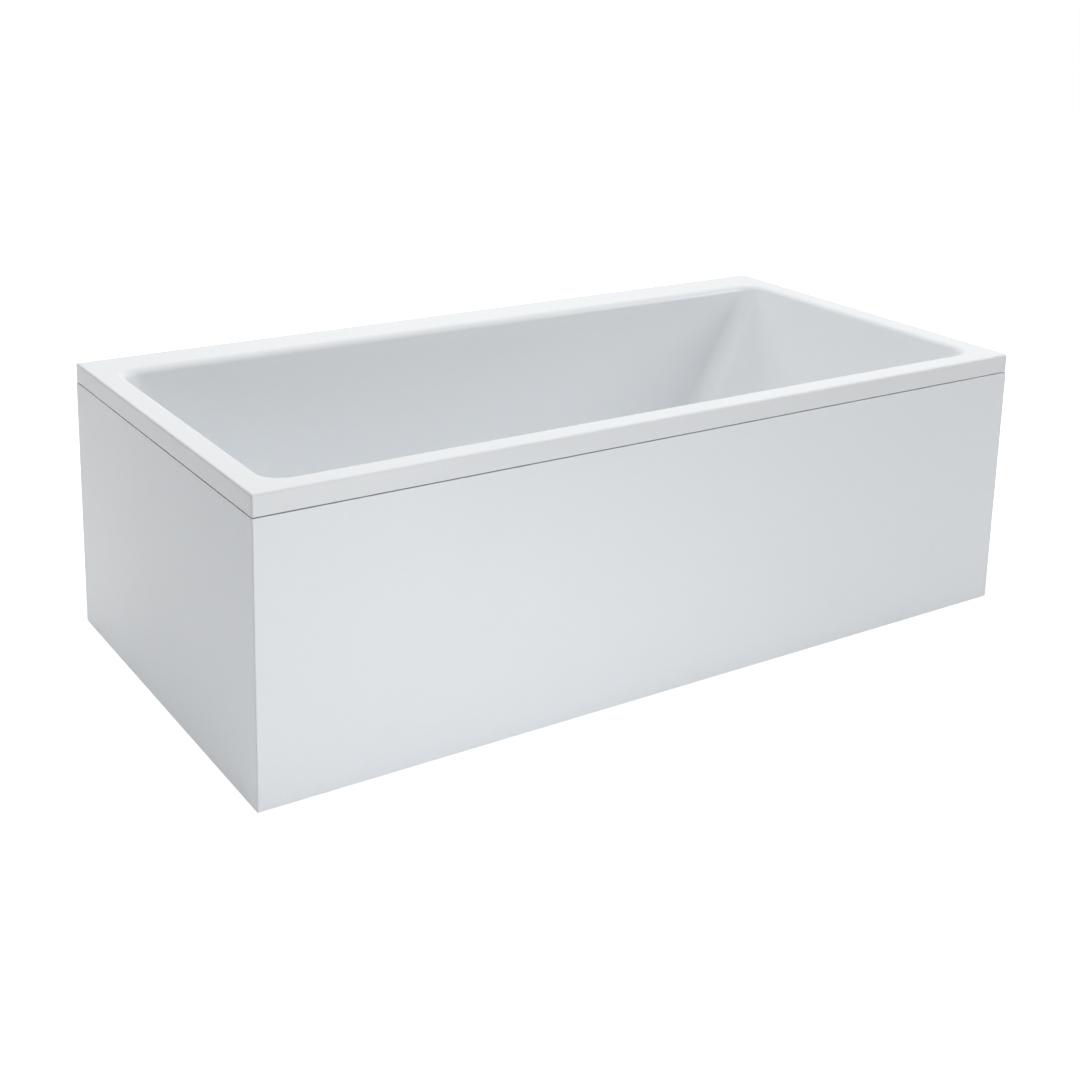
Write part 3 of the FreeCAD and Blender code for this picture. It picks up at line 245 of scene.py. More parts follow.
def particleBoard():
    made, tree, shader = newMaterial("particleBoard")
    look = boardLook
    rough = noise(tree, objectCoords(tree), *look["roughNoise"])
    chips = cells(tree, objectCoords(tree, look["chipStretch"]), look["chipScale"])
    under = bump(tree, chips.outputs["Distance"], *look["chipBump"])
    feed(tree, shader, {
        "Base Color": ramp(tree, chips.outputs["Color"], look["colours"], look["bands"]),
        "Roughness": look["roughness"],
        "Normal": bump(tree, rough, *look["roughBump"], under),
    })
    return made


# planed softwood with its grain along one axis
woodLook = {
    "colours": ((0.50, 0.35, 0.20), (0.66, 0.50, 0.31)),
    "bands": (0.34, 0.56),
    "along": 0.06,
    "grainNoise": (130.0, 6.0, 0.6, 0.8),
    "grainBump": (0.35, 0.0003),
    "roughness": 0.58,
}


def plainWood(name, way):
    made, tree, shader = newMaterial(name)
    look = woodLook
    stretch = [look["along"] if axis == way else 1 for axis in "XYZ"]
    grain = noise(tree, objectCoords(tree, stretch), *look["grainNoise"])
    feed(tree, shader, {
        "Base Color": ramp(tree, grain, look["colours"], look["bands"]),
        "Roughness": look["roughness"],
        "Normal": bump(tree, grain, *look["grainBump"]),
    })
    return made


coatLook = {
    "shade": 0.9,
    "wornNoise": (14.0, 6.0, 0.6),
    "roughness": (0.40, 0.54),
    "gritNoise": (900.0, 3.0, 0.6),
    "gritBump": (0.3, 0.00012),
    "coatWeight": 0.15,
    "coatRoughness": 0.35,
}


def powderCoat(name, colour):
    made, tree, shader = newMaterial(name)
    look, coords = coatLook, objectCoords(tree)
    worn = noise(tree, coords, *look["wornNoise"])
    grit = noise(tree, coords, *look["gritNoise"])
    feed(tree, shader, {
        "Base Color": ramp(tree, worn, (shaded(colour, look["shade"]), colour)),
        "Roughness": mapRange(tree, worn, *look["roughness"]),
        "Normal": bump(tree, grit, *look["gritBump"]),
        "Coat Weight": look["coatWeight"],
        "Coat Roughness": look["coatRoughness"],
    })
    return made


# plated or brushed metal with streaks round its turned surfaces
metalLook = {
    "shade": 0.9,
    "stretch": (1, 1, 6),
    "detail": (4.0, 0.6),
    "contrast": (0.3, 0.7),
    "strength": 0.25,
}


def metal(name, colour, roughness, streakScale, streakDepth):
    made, tree, shader = newMaterial(name)
    look = metalLook
    streak = noise(tree, objectCoords(tree, look["stretch"]), streakScale, *look["detail"])
    feed(tree, shader, {
        "Base Color": ramp(tree, streak, (shaded(colour, look["shade"]), colour)),
        "Roughness": mapRange(tree, streak, *roughness, *look["contrast"]),
        "Normal": bump(tree, streak, look["strength"], streakDepth),
        "Metallic": 1.0,
    })
    return made


plasticLook = {
    "shade": 0.93,
    "cloudNoise": (22.0, 4.0, 0.55),
    "contrast": (0.3, 0.7),
    "grainNoise": (1100.0, 2.0, 0.5),
    "strength": 0.35,
}


def mouldedPlastic(name, colour, roughness, grainDepth):
    made, tree, shader = newMaterial(name)
    look, coords = plasticLook, objectCoords(tree)
    cloud = noise(tree, coords, *look["cloudNoise"])
    grain = noise(tree, coords, *look["grainNoise"])
    feed(tree, shader, {
        "Base Color": ramp(tree, cloud, (shaded(colour, look["shade"]), colour)),
        "Roughness": mapRange(tree, cloud, *roughness, *look["contrast"]),
        "Normal": bump(tree, grain, look["strength"], grainDepth),
    })
    return made


foamLook = {
    "colours": ((0.78, 0.78, 0.75), (0.85, 0.85, 0.83)),
    "cloudNoise": (5.0, 4.0, 0.5),
    "cellScale": 700.0,
    "cellBump": (0.35, 0.0002),
    "roughness": 0.82,
}


def foamBoard():
    made, tree, shader = newMaterial("foamBoard")
    look, coords = foamLook, objectCoords(tree)
    beads = cells(tree, coords, look["cellScale"])
    feed(tree, shader, {
        "Base Color": ramp(tree, noise(tree, coords, *look["cloudNoise"]), look["colours"]),
        "Roughness": look["roughness"],
        "Normal": bump(tree, beads.outputs["Distance"], *look["cellBump"]),
    })
    return made


# one finish for each material slot of the record
finishes = {
    "acrylic": acrylic("whiteAcrylic", acrylicLook["shell"], acrylicLook["shellRoughness"],
                       acrylicLook["shellWaveBump"]),
    "panel_acrylic": acrylic("panelAcrylic", acrylicLook["panel"], acrylicLook["panelRoughness"],
                             acrylicLook["panelWaveBump"]),
    "glass_fibre": glassFibre("sprayedResin", (0.79, 0.76, 0.64), (0.70, 0.66, 0.51),
                              (0.56, 0.50, 0.35)),
    "board": particleBoard(),
    "foam_board": foamBoard(),
    "frame_steel": powderCoat("greyPowderCoat", (0.21, 0.215, 0.22)),
    "zinc_steel": metal("zincPlate", (0.46, 0.47, 0.49), (0.28, 0.42), 160.0, 0.00006),
    "foot_plastic": mouldedPlastic("blackFootPlastic", (0.022, 0.022, 0.024), (0.45, 0.58), 0.0001),
    "fitting_plastic": mouldedPlastic("whiteFittingPlastic", (0.78, 0.78, 0.76), (0.34, 0.46),
                                      0.00008),
    "black_plastic": mouldedPlastic("blackSheath", (0.018, 0.018, 0.02), (0.38, 0.5), 0.00008),
    "rubber": mouldedPlastic("blackRubber", (0.02, 0.02, 0.02), (0.62, 0.78), 0.00015),
    "chrome": metal("polishedChrome", (0.56, 0.57, 0.59), (0.04, 0.075), 60.0, 0.000006),
    "batten_wood": plainWood("softwoodBatten", "X"),
    "magnet": mouldedPlastic("darkFerrite", (0.05, 0.05, 0.055), (0.5, 0.66), 0.00012),
}
strandGlass = glassFibre("choppedStrand", (0.86, 0.84, 0.75), (0.80, 0.77, 0.66),
                         (0.70, 0.66, 0.53))
weldSteel = powderCoat("coatedWeld", (0.18, 0.185, 0.19))
slotFor = {part["node"]: part["material_slot"] for part in frame["record"]["subparts"]}
bodyFor = {node: body for body, nodes in frame["record"]["behaviour"]["bodies"].items()
           for node in nodes}
finishFor = {node: finishes[slot] for node, slot in slotFor.items()}
finishFor["corner_batten"] = plainWood("softwoodPost", "Z")
finishFor["end_hanging_rail"] = plainWood("softwoodCross", "Y")

for node, made in finishFor.items():
    mesh = frame["nodes"][node].data
    mesh.materials.clear()
    mesh.materials.append(made)
print("finishes made and solids dressed:", len(finishFor))


# mesh helpers

def camel(node):
    first, *rest = node.split("_")
    return first + "".join(word.capitalize() for word in rest)


def linkMesh(name, corners, faces, made, sharp=38):
    mesh = bpy.data.meshes.new(name)
    mesh.from_pydata(corners, [], faces)
    sheet = bmesh.new()
    sheet.from_mesh(mesh)
    bmesh.ops.remove_doubles(sheet, verts=sheet.verts, dist=1e-7)
    bmesh.ops.recalc_face_normals(sheet, faces=sheet.faces)
    sheet.to_mesh(mesh)
    sheet.free()
    mesh.shade_smooth()
    mesh.set_sharp_from_angle(angle=math.radians(sharp))
    mesh.materials.append(made)
    return addObject(name, mesh)


# a skin over rings of equally many points; closed joins the last ring to the first
def ringMesh(name, rings, made, closed=True, sharp=38):
    count = len(rings[0])
    corners = [tuple(p) for ring in rings for p in ring]
    faces = []
    for i in range(len(rings) if closed else len(rings) - 1):
        a, b = i * count, (i + 1) % len(rings) * count
        faces += [(a + k, a + (k + 1) % count, b + (k + 1) % count, b + k) for k in range(count)]
    return linkMesh(name, corners, faces, made, sharp)


# each corner becomes a short curve that starts and ends a radius away from it, or nearer where
# a side is short
def softCorners(points, radius, steps=3, closed=True, mostOfSide=0.45):
    made = []
    for n, p in enumerate(points):
        p = Vector(p)
        if not closed and n in (0, len(points) - 1):
            made.append(p)
            continue
        before, after = Vector(points[n - 1]), Vector(points[(n + 1) % len(points)])
        reach = min(radius, (p - before).length * mostOfSide, (after - p).length * mostOfSide)
        a, b = p + (before - p).normalized() * reach, p + (after - p).normalized() * reach
        made += [a.lerp(p, k / steps).lerp(p.lerp(b, k / steps), k / steps)
                 for k in range(steps + 1)]
    return made


def turnedPiece(name, profile, made, segments=48):
    around = [(math.cos(2 * math.pi * k / segments), math.sin(2 * math.pi * k / segments))
              for k in range(segments)]
    rings = [[(r * c, r * s, z) for c, s in around] for r, z in profile]
    return ringMesh(name, rings, made, closed=False)


# turns a piece with modifiers into a plain mesh
def bakeModifiers(piece):
    graph = bpy.context.evaluated_depsgraph_get()
    plain = bpy.data.meshes.new_from_object(piece.evaluated_get(graph))
    piece.modifiers.clear()
    piece.data = plain
    return piece


def joined(name, pieces):
    sheet = bmesh.new()
    for piece in pieces:
        sheet.from_mesh(piece.data)
    mesh = bpy.data.meshes.new(name)
    sheet.to_mesh(mesh)
    sheet.free()
    for made in pieces[0].data.materials:
        mesh.materials.append(made)
    for piece in pieces:
        bpy.data.objects.remove(piece)
    return addObject(name, mesh)


def shiftedCopy(piece, name, by):
    mesh = piece.data.copy()
    mesh.transform(Matrix.Translation(by))
    return addObject(name, mesh)


# a finished piece takes the place of CAD nodes, with their body
def standFor(piece, *nodes):
    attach(piece, bodyFor[nodes[0]])
    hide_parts(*nodes)


def addTo(piece, body):
    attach(piece, body)
    return piece


def cutRoundHole(piece, centre, axis, radius, length):
    drill = bmesh.new()
    turn = axis.to_track_quat("Z", "Y").to_matrix().to_4x4()
    bmesh.ops.create_cone(drill, cap_ends=True, segments=96, radius1=radius, radius2=radius,
                          depth=length, matrix=Matrix.Translation(centre) @ turn)
    mesh = bpy.data.meshes.new("drill")
    drill.to_mesh(mesh)
    drill.free()
    tool = addObject("drill", mesh)
    cutter = piece.modifiers.new("hole", "BOOLEAN")
    cutter.operation = "DIFFERENCE"
    cutter.solver = "EXACT"
    cutter.object = tool
    bakeModifiers(piece)
    bpy.data.objects.remove(tool)
    bpy.data.meshes.remove(mesh)


# geometry-node helpers: named inputs, one material input, and the result made plain
def growTree(name, sockets):
    tree = bpy.data.node_groups.new(name, "GeometryNodeTree")
    face = tree.interface
    face.new_socket("Geometry", in_out="INPUT", socket_type="NodeSocketGeometry")
    for label, (kind, value) in sockets.items():
        socket = face.new_socket(label, in_out="INPUT", socket_type="NodeSocket" + kind)
        socket.default_value = value
    face.new_socket("Material", in_out="INPUT", socket_type="NodeSocketMaterial")
    face.new_socket("Geometry", in_out="OUTPUT", socket_type="NodeSocketGeometry")
    return tree, tree.nodes.new("NodeGroupInput").outputs


def endTree(tree, geometry, made, smooth=True):
    whole = grow(tree, "GeometryNodeRealizeInstances", {"Geometry": geometry}).outputs[0]
    shade = grow(tree, "GeometryNodeSetShadeSmooth", {0: whole, "Shade Smooth": smooth}).outputs[0]
    skin = grow(tree, "GeometryNodeSetMaterial", {"Geometry": shade, "Material": made}).outputs[0]
    grow(tree, "NodeGroupOutput", {0: skin})
    return tree


def growOn(piece, tree, values):
    grower = piece.modifiers.new(tree.name, "NODES")
    grower.node_group = tree
    for item in tree.interface.items_tree:
        if item.in_out == "INPUT" and item.name in values:
            grower[item.identifier] = values[item.name]
    return bakeModifiers(piece)


def pointsPiece(name, points, axes=None, edges=()):
    mesh = bpy.data.meshes.new(name)
    mesh.from_pydata([tuple(p) for p in points], edges, [])
    if axes:
        stored = mesh.attributes.new("axis", "FLOAT_VECTOR", "POINT")
        for spot, axis in zip(stored.data, axes):
            spot.vector = axis
    return addObject(name, mesh)


# the shell: one closed skin of rounded rectangles, from the skirt over the rim and down the
# bowl to the waste hole, then back up its outside
tub = {
    "length": 1.8,
    "width": 0.9,
    "rim": 0.58,
    "wall": 0.005,
    "skirt": 0.04,
    "ledge": {"front": 0.058, "head": 0.057, "wall": 0.105, "drain": 0.054},
    "run": {"front": 0.043, "head": 0.248, "wall": 0.043, "drain": 0.09},
    "depth": 0.43,
    "mouthRound": 0.045,
    "floorRound": 0.06,
    "bowlFillet": 0.06,
    "lipRound": 0.016,
    "edgeRound": 0.004,
    "skirtRound": 0.001,
    "leastRound": 0.0002,
    "edgeStrip": 0.001,
    "drainSetback": 0.11,
    "recessRadius": 0.038,
    "recessDepth": 0.004,
    "recessRound": 0.0015,
    "recessLand": 0.002,
    "holeRadius": 0.026,
    "holeChamfer": 0.0006,
    "overflowDrop": 0.075,
    "drillLength": 0.06,
    "cornerSteps": 14,
    "longSteps": 44,
    "shortSteps": 22,
}
sides = ("front", "head", "wall", "drain")
outward = {"front": -1, "head": 1, "wall": 1, "drain": -1}
halves = {"front": tub["width"] / 2, "head": tub["length"] / 2,
          "wall": tub["width"] / 2, "drain": tub["length"] / 2}
mouth = {s: outward[s] * (halves[s] - tub["ledge"][s]) for s in sides}
lean = {s: tub["run"][s] / tub["depth"] for s in sides}
floorLevel = tub["rim"] - tub["depth"]
middleY = (mouth["front"] + mouth["wall"]) / 2
drainX = mouth["drain"] + tub["run"]["drain"] + tub["drainSetback"]
overflowPoint = Vector((mouth["drain"] + lean["drain"] * tub["overflowDrop"], middleY,
                        tub["rim"] - tub["overflowDrop"]))
overflowAxis = Vector((1, 0, lean["drain"])).normalized()


# points of a rectangle with round corners; each side has its own (place, height)
def roundedLoop(places, radius):
    (yf, zf), (xh, zh), (yw, zw), (xd, zd) = [places[s] for s in sides]
    corners = [
        (xh - radius, yf + radius, -90, zf, zh),
        (xh - radius, yw - radius, 0, zh, zw),
        (xd + radius, yw - radius, 90, zw, zd),
        (xd + radius, yf + radius, 180, zd, zf),
    ]
    arcs = []
    for x, y, start, low, high in corners:
        arc = []
        for k in range(tub["cornerSteps"] + 1):
            t = k / tub["cornerSteps"]
            angle = math.radians(start + 90 * t)
            ease = t * t * (3 - 2 * t)
            arc.append(Vector((x + radius * math.cos(angle), y + radius * math.sin(angle),
                               low + (high - low) * ease)))
        arcs.append(arc)
    points = []
    for n in range(4):
        points += arcs[n]
        steps = tub["shortSteps"] if n in (0, 2) else tub["longSteps"]
        begin, end = arcs[n][-1], arcs[(n + 1) % 4][0]
        points += [begin.lerp(end, k / steps) for k in range(1, steps)]
    return points


# the rim's own rectangle, drawn in by an inset
def boxLoop(inset, height, radius):
    places = {s: (outward[s] * (halves[s] - inset), height) for s in sides}
    return roundedLoop(places, max(radius, tub["leastRound"]))


# a circle round the waste whose points lie in line with those of another loop
def circleLoop(like, radius, height):
    centre = Vector((drainX, middleY, 0))
    points = []
    for p in like:
        way = Vector((p.x - centre.x, p.y - centre.y, 0)).normalized()
        points.append(centre + way * radius + Vector((0, 0, height)))
    return points


# loops down the bowl at a skin's thickness outside its inner face, from rim to floor
def bowlLoops(skin, top, topRound, lipSteps=8, wallSteps=10, floorSteps=12):
    stations = {s: [] for s in sides}
    floorZ = floorLevel - skin
    fillet = tub["bowlFillet"] + skin
    for s in sides:
        slope = lean[s]
        angle = math.atan(slope)
        turn = math.pi / 2 - angle
        start = skin * math.hypot(1, slope)
        # round the lip, down the wall, then round into the floor
        lipX = start - slope * (tub["rim"] - top) + topRound * math.tan(turn / 2)
        for k in range(lipSteps + 1):
            a = turn * k / lipSteps
            stations[s].append((lipX - topRound * math.sin(a),
                                top - topRound + topRound * math.cos(a)))
        floorX = start - slope * (tub["rim"] - floorZ) - fillet * math.tan(turn / 2)
        arc = []
        for k in range(floorSteps + 1):
            a = angle + turn * k / floorSteps
            arc.append((floorX + fillet * math.cos(a), floorZ + fillet - fillet * math.sin(a)))
        (x0, z0), (x1, z1) = stations[s][-1], arc[0]
        for k in range(1, wallSteps):
            t = k / wallSteps
            stations[s].append((x0 + (x1 - x0) * t, z0 + (z1 - z0) * t))
        stations[s] += arc
    loops = []
    for n in range(len(stations["front"])):
        places, drift, depth = {}, 0, 0
        for s in sides:
            out, z = stations[s][n]
            plane = skin * math.hypot(1, lean[s]) - lean[s] * (tub["rim"] - z)
            drift += (out - plane) / len(sides)
            depth += (tub["rim"] - z) / tub["depth"] / len(sides)
            places[s] = (mouth[s] + outward[s] * out, z)
        grown = (tub["floorRound"] - tub["mouthRound"]) * min(depth, 1)
        loops.append(roundedLoop(places, tub["mouthRound"] + skin + grown + drift))
    return loops


# loops between two, neither included
def blendLoops(first, last, steps):
    return [[p.lerp(q, k / steps) for p, q in zip(first, last)] for k in range(1, steps)]


# sines and cosines along a quarter turn
def quarterTurn(steps):
    turns = [math.radians(90 * k / steps) for k in range(steps + 1)]
    return [(math.sin(a), math.cos(a)) for a in turns]


def tubShell():
    top, foot, wall = tub["rim"], tub["rim"] - tub["skirt"], tub["wall"]
    edge, small, strip = tub["edgeRound"], tub["skirtRound"], tub["edgeStrip"]
    rings = []
    for s, c in quarterTurn(3):  # lower edge of the skirt
        inset = small - small * s
        rings.append(boxLoop(inset, foot + small - small * c, edge - inset))
    rings.append(boxLoop(0, foot + 2 * small, edge))
    rings.append(boxLoop(0, top - edge - strip, edge))
    for s, c in quarterTurn(7):  # upper outer edge
        inset = edge - edge * c
        rings.append(boxLoop(inset, top - edge + edge * s, edge - inset))
    rings.append(boxLoop(edge + strip, top, 0))
    inner = bowlLoops(0, top, tub["lipRound"])
    lipStart = [Vector((p.x, p.y, top)) + (p - q).normalized() * strip
                for p, q in zip(inner[0], inner[1])]
    for p in lipStart:
        p.z = top
    rings.append(lipStart)
    rings += inner
    # the waste's recess in the floor, its hole, and the boss under it
    radius, deep, soft = tub["recessRadius"], floorLevel - tub["recessDepth"], tub["recessRound"]
    edgeCircle = circleLoop(inner[-1], radius + soft + tub["recessLand"], floorLevel)
    rings += blendLoops(inner[-1], edgeCircle, steps=5)
    rings.append(edgeCircle)
    quarter, hole, chamfer = quarterTurn(3), tub["holeRadius"], tub["holeChamfer"]
    boss = radius + wall
    turned = [(radius + soft - soft * s, floorLevel - soft + soft * c) for s, c in quarter]
    turned += [(radius - soft + soft * c, deep + soft - soft * s) for s, c in quarter]
    turned += [(hole + chamfer, deep), (hole, deep - chamfer), (hole, deep - wall),
               (boss, deep - wall), (boss, floorLevel - wall)]
    rings += [circleLoop(inner[-1], reach, level) for reach, level in turned]
    outer = bowlLoops(wall, top - wall, tub["lipRound"] - wall)
    outerCircle = circleLoop(outer[-1], boss + tub["recessLand"], floorLevel - wall)
    rings.append(outerCircle)
    rings += blendLoops(outerCircle, outer[-1], steps=4)
    rings += reversed(outer)
    rings.append(boxLoop(wall, top - wall, 0))
    rings.append(boxLoop(wall, foot, 0))
    return ringMesh("tubShell", rings, finishes["acrylic"], sharp=50)


shell = tubShell()
cutRoundHole(shell, overflowPoint, overflowAxis, tub["holeRadius"], tub["drillLength"])
standFor(shell, "tub_shell")
print("shell made:", len(shell.data.polygons), "faces")


# the sprayed backing, with chopped strands that stand out of its resin
backing = {
    "gap": 0.0052,
    "wall": 0.003,
    "top": 0.552,
    "openingRadius": 0.048,
    "holeRadius": 0.026,
    "strandsPerArea": 2300.0,
    "strandSize": (0.022, 0.0011, 0.0005),
    "strandStretch": (0.6, 1.25),
    "floorClear": 0.0008,
    "seed": 11,
}


def strandTree():
    tree, inputs = growTree("choppedStrands", {
        "Density": ("Float", backing["strandsPerArea"]),
        "Strand Size": ("Vector", backing["strandSize"]),
        "Lowest": ("Float", 0.0),
        "Seed": ("Int", backing["seed"]),
    })
    place = grow(tree, "GeometryNodeInputPosition").outputs[0]
    height = grow(tree, "ShaderNodeSeparateXYZ", {0: place}).outputs["Z"]
    above = grow(tree, "FunctionNodeCompare", {0: height, 1: inputs["Lowest"]},
                 data_type="FLOAT", operation="GREATER_THAN").outputs[0]
    spread = grow(tree, "GeometryNodeDistributePointsOnFaces",
                  {"Mesh": inputs["Geometry"], "Selection": above, "Density": inputs["Density"],
                   "Seed": inputs["Seed"]})
    angle = grow(tree, "FunctionNodeRandomValue", {2: 0.0, 3: math.pi, "Seed": inputs["Seed"]})
    spin = grow(tree, "FunctionNodeEulerToRotation", {
        0: grow(tree, "ShaderNodeCombineXYZ", {"Z": angle.outputs[1]}).outputs[0]}).outputs[0]
    way = grow(tree, "FunctionNodeRotateRotation",
               {0: spread.outputs["Rotation"], 1: spin}, rotation_space="LOCAL").outputs[0]
    shortest, longest = backing["strandStretch"]
    length = grow(tree, "FunctionNodeRandomValue",
                  {2: shortest, 3: longest, "Seed": inputs["Seed"]})
    scale = grow(tree, "ShaderNodeCombineXYZ", {"X": length.outputs[1], "Y": 1.0, "Z": 1.0})
    strand = grow(tree, "GeometryNodeMeshCube", {"Size": inputs["Strand Size"]}).outputs[0]
    placed = grow(tree, "GeometryNodeInstanceOnPoints",
                  {"Points": spread.outputs["Points"], "Instance": strand, "Rotation": way,
                   "Scale": scale.outputs[0]}).outputs[0]
    return endTree(tree, placed, inputs["Material"], smooth=False)


def glassBacking():
    near, far = backing["gap"], backing["gap"] + backing["wall"]
    outer = bowlLoops(far, backing["top"], 0, lipSteps=1, wallSteps=12)
    inner = bowlLoops(near, backing["top"], 0, lipSteps=1, wallSteps=12)
    rings = outer + [circleLoop(outer[-1], backing["openingRadius"], floorLevel - far),
                     circleLoop(inner[-1], backing["openingRadius"], floorLevel - near)]
    rings += reversed(inner)
    skin = ringMesh("glassBacking", rings, finishes["glass_fibre"], sharp=50)
    cutRoundHole(skin, overflowPoint, overflowAxis, backing["holeRadius"], tub["drillLength"])
    # only the outside grows strands, and none over the board under the floor
    field = ringMesh("backingStrands", outer, strandGlass, closed=False)
    growOn(field, strandTree(), {"Density": backing["strandsPerArea"],
                                 "Strand Size": backing["strandSize"],
                                 "Lowest": floorLevel - far + backing["floorClear"],
                                 "Seed": backing["seed"], "Material": strandGlass})
    return skin, field


skin, strands = glassBacking()
standFor(skin, "glass_fibre_backing")
addTo(strands, "tub")
print("backing made:", len(strands.data.polygons), "strand faces")


# square steel tubes with rounded corners, drilled where the feet pass, and welded at each joint
tube = {
    "wall": 0.002,
    "corner": 0.0032,
    "footHole": 0.0077,
    "drillLength": 0.05,
    "beadSpacing": 0.0021,
    "beadRadius": 0.0021,
    "beadStretch": (0.85, 1.15),
    "seed": 4,
}
railNodes = ["front_rim_rail", "wall_rim_rail", "front_base_rail", "wall_base_rail"]
crossNodes = ["drain_cross_rail", "second_cross_rail", "third_cross_rail", "head_cross_rail"]
postNodes = [f"{side}_{end}_post" for side in ("front", "wall")
             for end in ("drain", "middle", "head")]
footSpots = {}
for node in postNodes:
    low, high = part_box(node)
    footSpots[node.replace("_post", "")] = ((low.x + high.x) / 2, (low.y + high.y) / 2)


def squareTube(node, way):
    low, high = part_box(node)
    along = "XYZ".index(way)
    u, v = [axis for axis in range(3) if axis != along]

    def loop(inset, corner, end):
        flat = [(low[u] + inset, low[v] + inset), (high[u] - inset, low[v] + inset),
                (high[u] - inset, high[v] - inset), (low[u] + inset, high[v] - inset)]
        points = []
        for spot in softCorners(flat, corner, steps=4):
            p = Vector((0, 0, 0))
            p[along], p[u], p[v] = end, spot.x, spot.y
            points.append(p)
        return points

    ends, wall = (low[along], high[along]), tube["wall"]
    rings = [loop(0, tube["corner"], ends[0]), loop(0, tube["corner"], ends[1]),
             loop(wall, tube["corner"] - wall, ends[1]), loop(wall, tube["corner"] - wall, ends[0])]
    return ringMesh(camel(node), rings, finishFor[node], sharp=30)


for node in railNodes + crossNodes + postNodes:
    way = "X" if node in railNodes else "Y" if node in crossNodes else "Z"
    made = squareTube(node, way)
    if node.endswith("base_rail"):
        low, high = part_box(node)
        for name, (x, y) in footSpots.items():
            if name.startswith(node.split("_")[0]):
                middle = Vector((x, y, (low.z + high.z) / 2))
                cutRoundHole(made, middle, Vector((0, 0, 1)), tube["footHole"], tube["drillLength"])
    standFor(made, node)
print("frame tubes made:", len(railNodes + crossNodes + postNodes))

# pressed-in plastic caps that close the open ends of the rails
endCap = {
    "play": 0.0001,
    "thick": 0.003,
    "sunk": 0.0004,
    "chamfer": 0.0008,
    "corner": 0.0014,
    "cornerSteps": 3,
}


def railCap(node, way):
    low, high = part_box(node)
    end, inwards = (high.x, -1) if way > 0 else (low.x, 1)
    middle = Vector((0, (low.y + high.y) / 2, (low.z + high.z) / 2))
    half = (high.y - low.y) / 2 - tube["wall"] - endCap["play"]
    thick, sunk, chamfer = endCap["thick"], endCap["sunk"], endCap["chamfer"]
    steps = endCap["cornerSteps"]
    rings = []
    for inset, depth in ((half, thick), (0, thick), (0, sunk + chamfer), (chamfer, sunk),
                         (half, sunk)):
        side = max(half - inset, 0)
        square = [(-side, -side), (side, -side), (side, side), (-side, side)]
        flat = softCorners(square, endCap["corner"], steps) if side else \
            [Vector((0, 0))] * (len(square) * (steps + 1))
        rings.append([middle + Vector((end + inwards * depth, v.x, v.y)) for v in flat])
    return ringMesh("railCap", rings, finishes["black_plastic"], closed=False, sharp=30)


caps = joined("railCaps", [railCap(node, way) for node in railNodes for way in (1, -1)])
addTo(caps, "tub")
print("rail caps made:", len(caps.data.polygons), "faces")


def beadTree():
    tree, inputs = growTree("weldBeads", {
        "Spacing": ("Float", tube["beadSpacing"]),
        "Bead Radius": ("Float", tube["beadRadius"]),
        "Seed": ("Int", tube["seed"]),
    })
    seam = grow(tree, "GeometryNodeMeshToCurve", {"Mesh": inputs["Geometry"]}).outputs[0]
    steps = grow(tree, "GeometryNodeResampleCurve", {"Curve": seam, "Length": inputs["Spacing"]},
                 mode="LENGTH").outputs[0]
    bead = grow(tree, "GeometryNodeMeshUVSphere",
                {"Segments": 8, "Rings": 5, "Radius": inputs["Bead Radius"]}).outputs[0]
    smallest, largest = [(share,) * 3 for share in tube["beadStretch"]]
    size = grow(tree, "FunctionNodeRandomValue",
                {0: smallest, 1: largest, "Seed": inputs["Seed"]}, data_type="FLOAT_VECTOR")
    placed = grow(tree, "GeometryNodeInstanceOnPoints",
                  {"Points": steps, "Instance": bead, "Scale": size.outputs[0]}).outputs[0]
    return endTree(tree, placed, inputs["Material"])


# where along the frame a tube's sides meet others: at the frame's two ends only the inner side
def weldedFaces(node, low, high):
    return [high] if "drain" in node else [low] if "head" in node else [low, high]


# seams lie in the inner corners, where one tube's face meets another; flush faces are ground flat
def weldSeams():
    seams = []
    for node in postNodes:
        low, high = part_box(node)
        seams += [((x, low.y, z), (x, high.y, z)) for x in weldedFaces(node, low.x, high.x)
                  for z in (low.z, high.z)]
    for node in crossNodes:
        low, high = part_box(node)
        seams += [((x, y, low.z), (x, y, high.z)) for x in weldedFaces(node, low.x, high.x)
                  for y in (low.y, high.y)]
    return seams


def weldBeads():
    ends = [end for seam in weldSeams() for end in seam]
    piece = pointsPiece("weldBeads", ends, edges=[(n, n + 1) for n in range(0, len(ends), 2)])
    return growOn(piece, beadTree(), {"Spacing": tube["beadSpacing"], "Seed": tube["seed"],
                                      "Bead Radius": tube["beadRadius"], "Material": weldSteel})


welds = addTo(weldBeads(), "tub")
print("weld beads made:", len(welds.data.polygons), "faces")


# levelling feet: a ribbed pad, and a spindle with a cut thread and a hexagonal collar
foot = {
    "padRadius": 0.017,
    "padThick": 0.008,
    "padBoss": 0.006,
    "padFloor": 0.004,
    "padShoulder": 0.002,
    "padEdge": 0.0009,
    "boreRadius": 0.00506,
    "collarRadius": 0.009,
    "collarFoot": 0.0142,
    "collarHeight": 0.006,
    "collarFlats": 6,
    "collarSteps": 48,
    "collarChamfer": (0.0012, 0.0007),  # inwards and along
    "shankEdge": 0.0006,
    "shankSides": 32,
    "overlap": 0.001,
    "threadRadius": 0.00497,
    "threadDepth": 0.0009,
    "threadSunk": 0.0005,
    "ridgeShare": 0.98,
    "turnSteps": 16,
    "pitch": 0.0015,
    "top": 0.129,
    "ribs": 16,
    "ribSize": (0.0052, 0.0015, 0.0046),
    "ribRadius": 0.0122,
    "ribLevel": 0.0068,
}


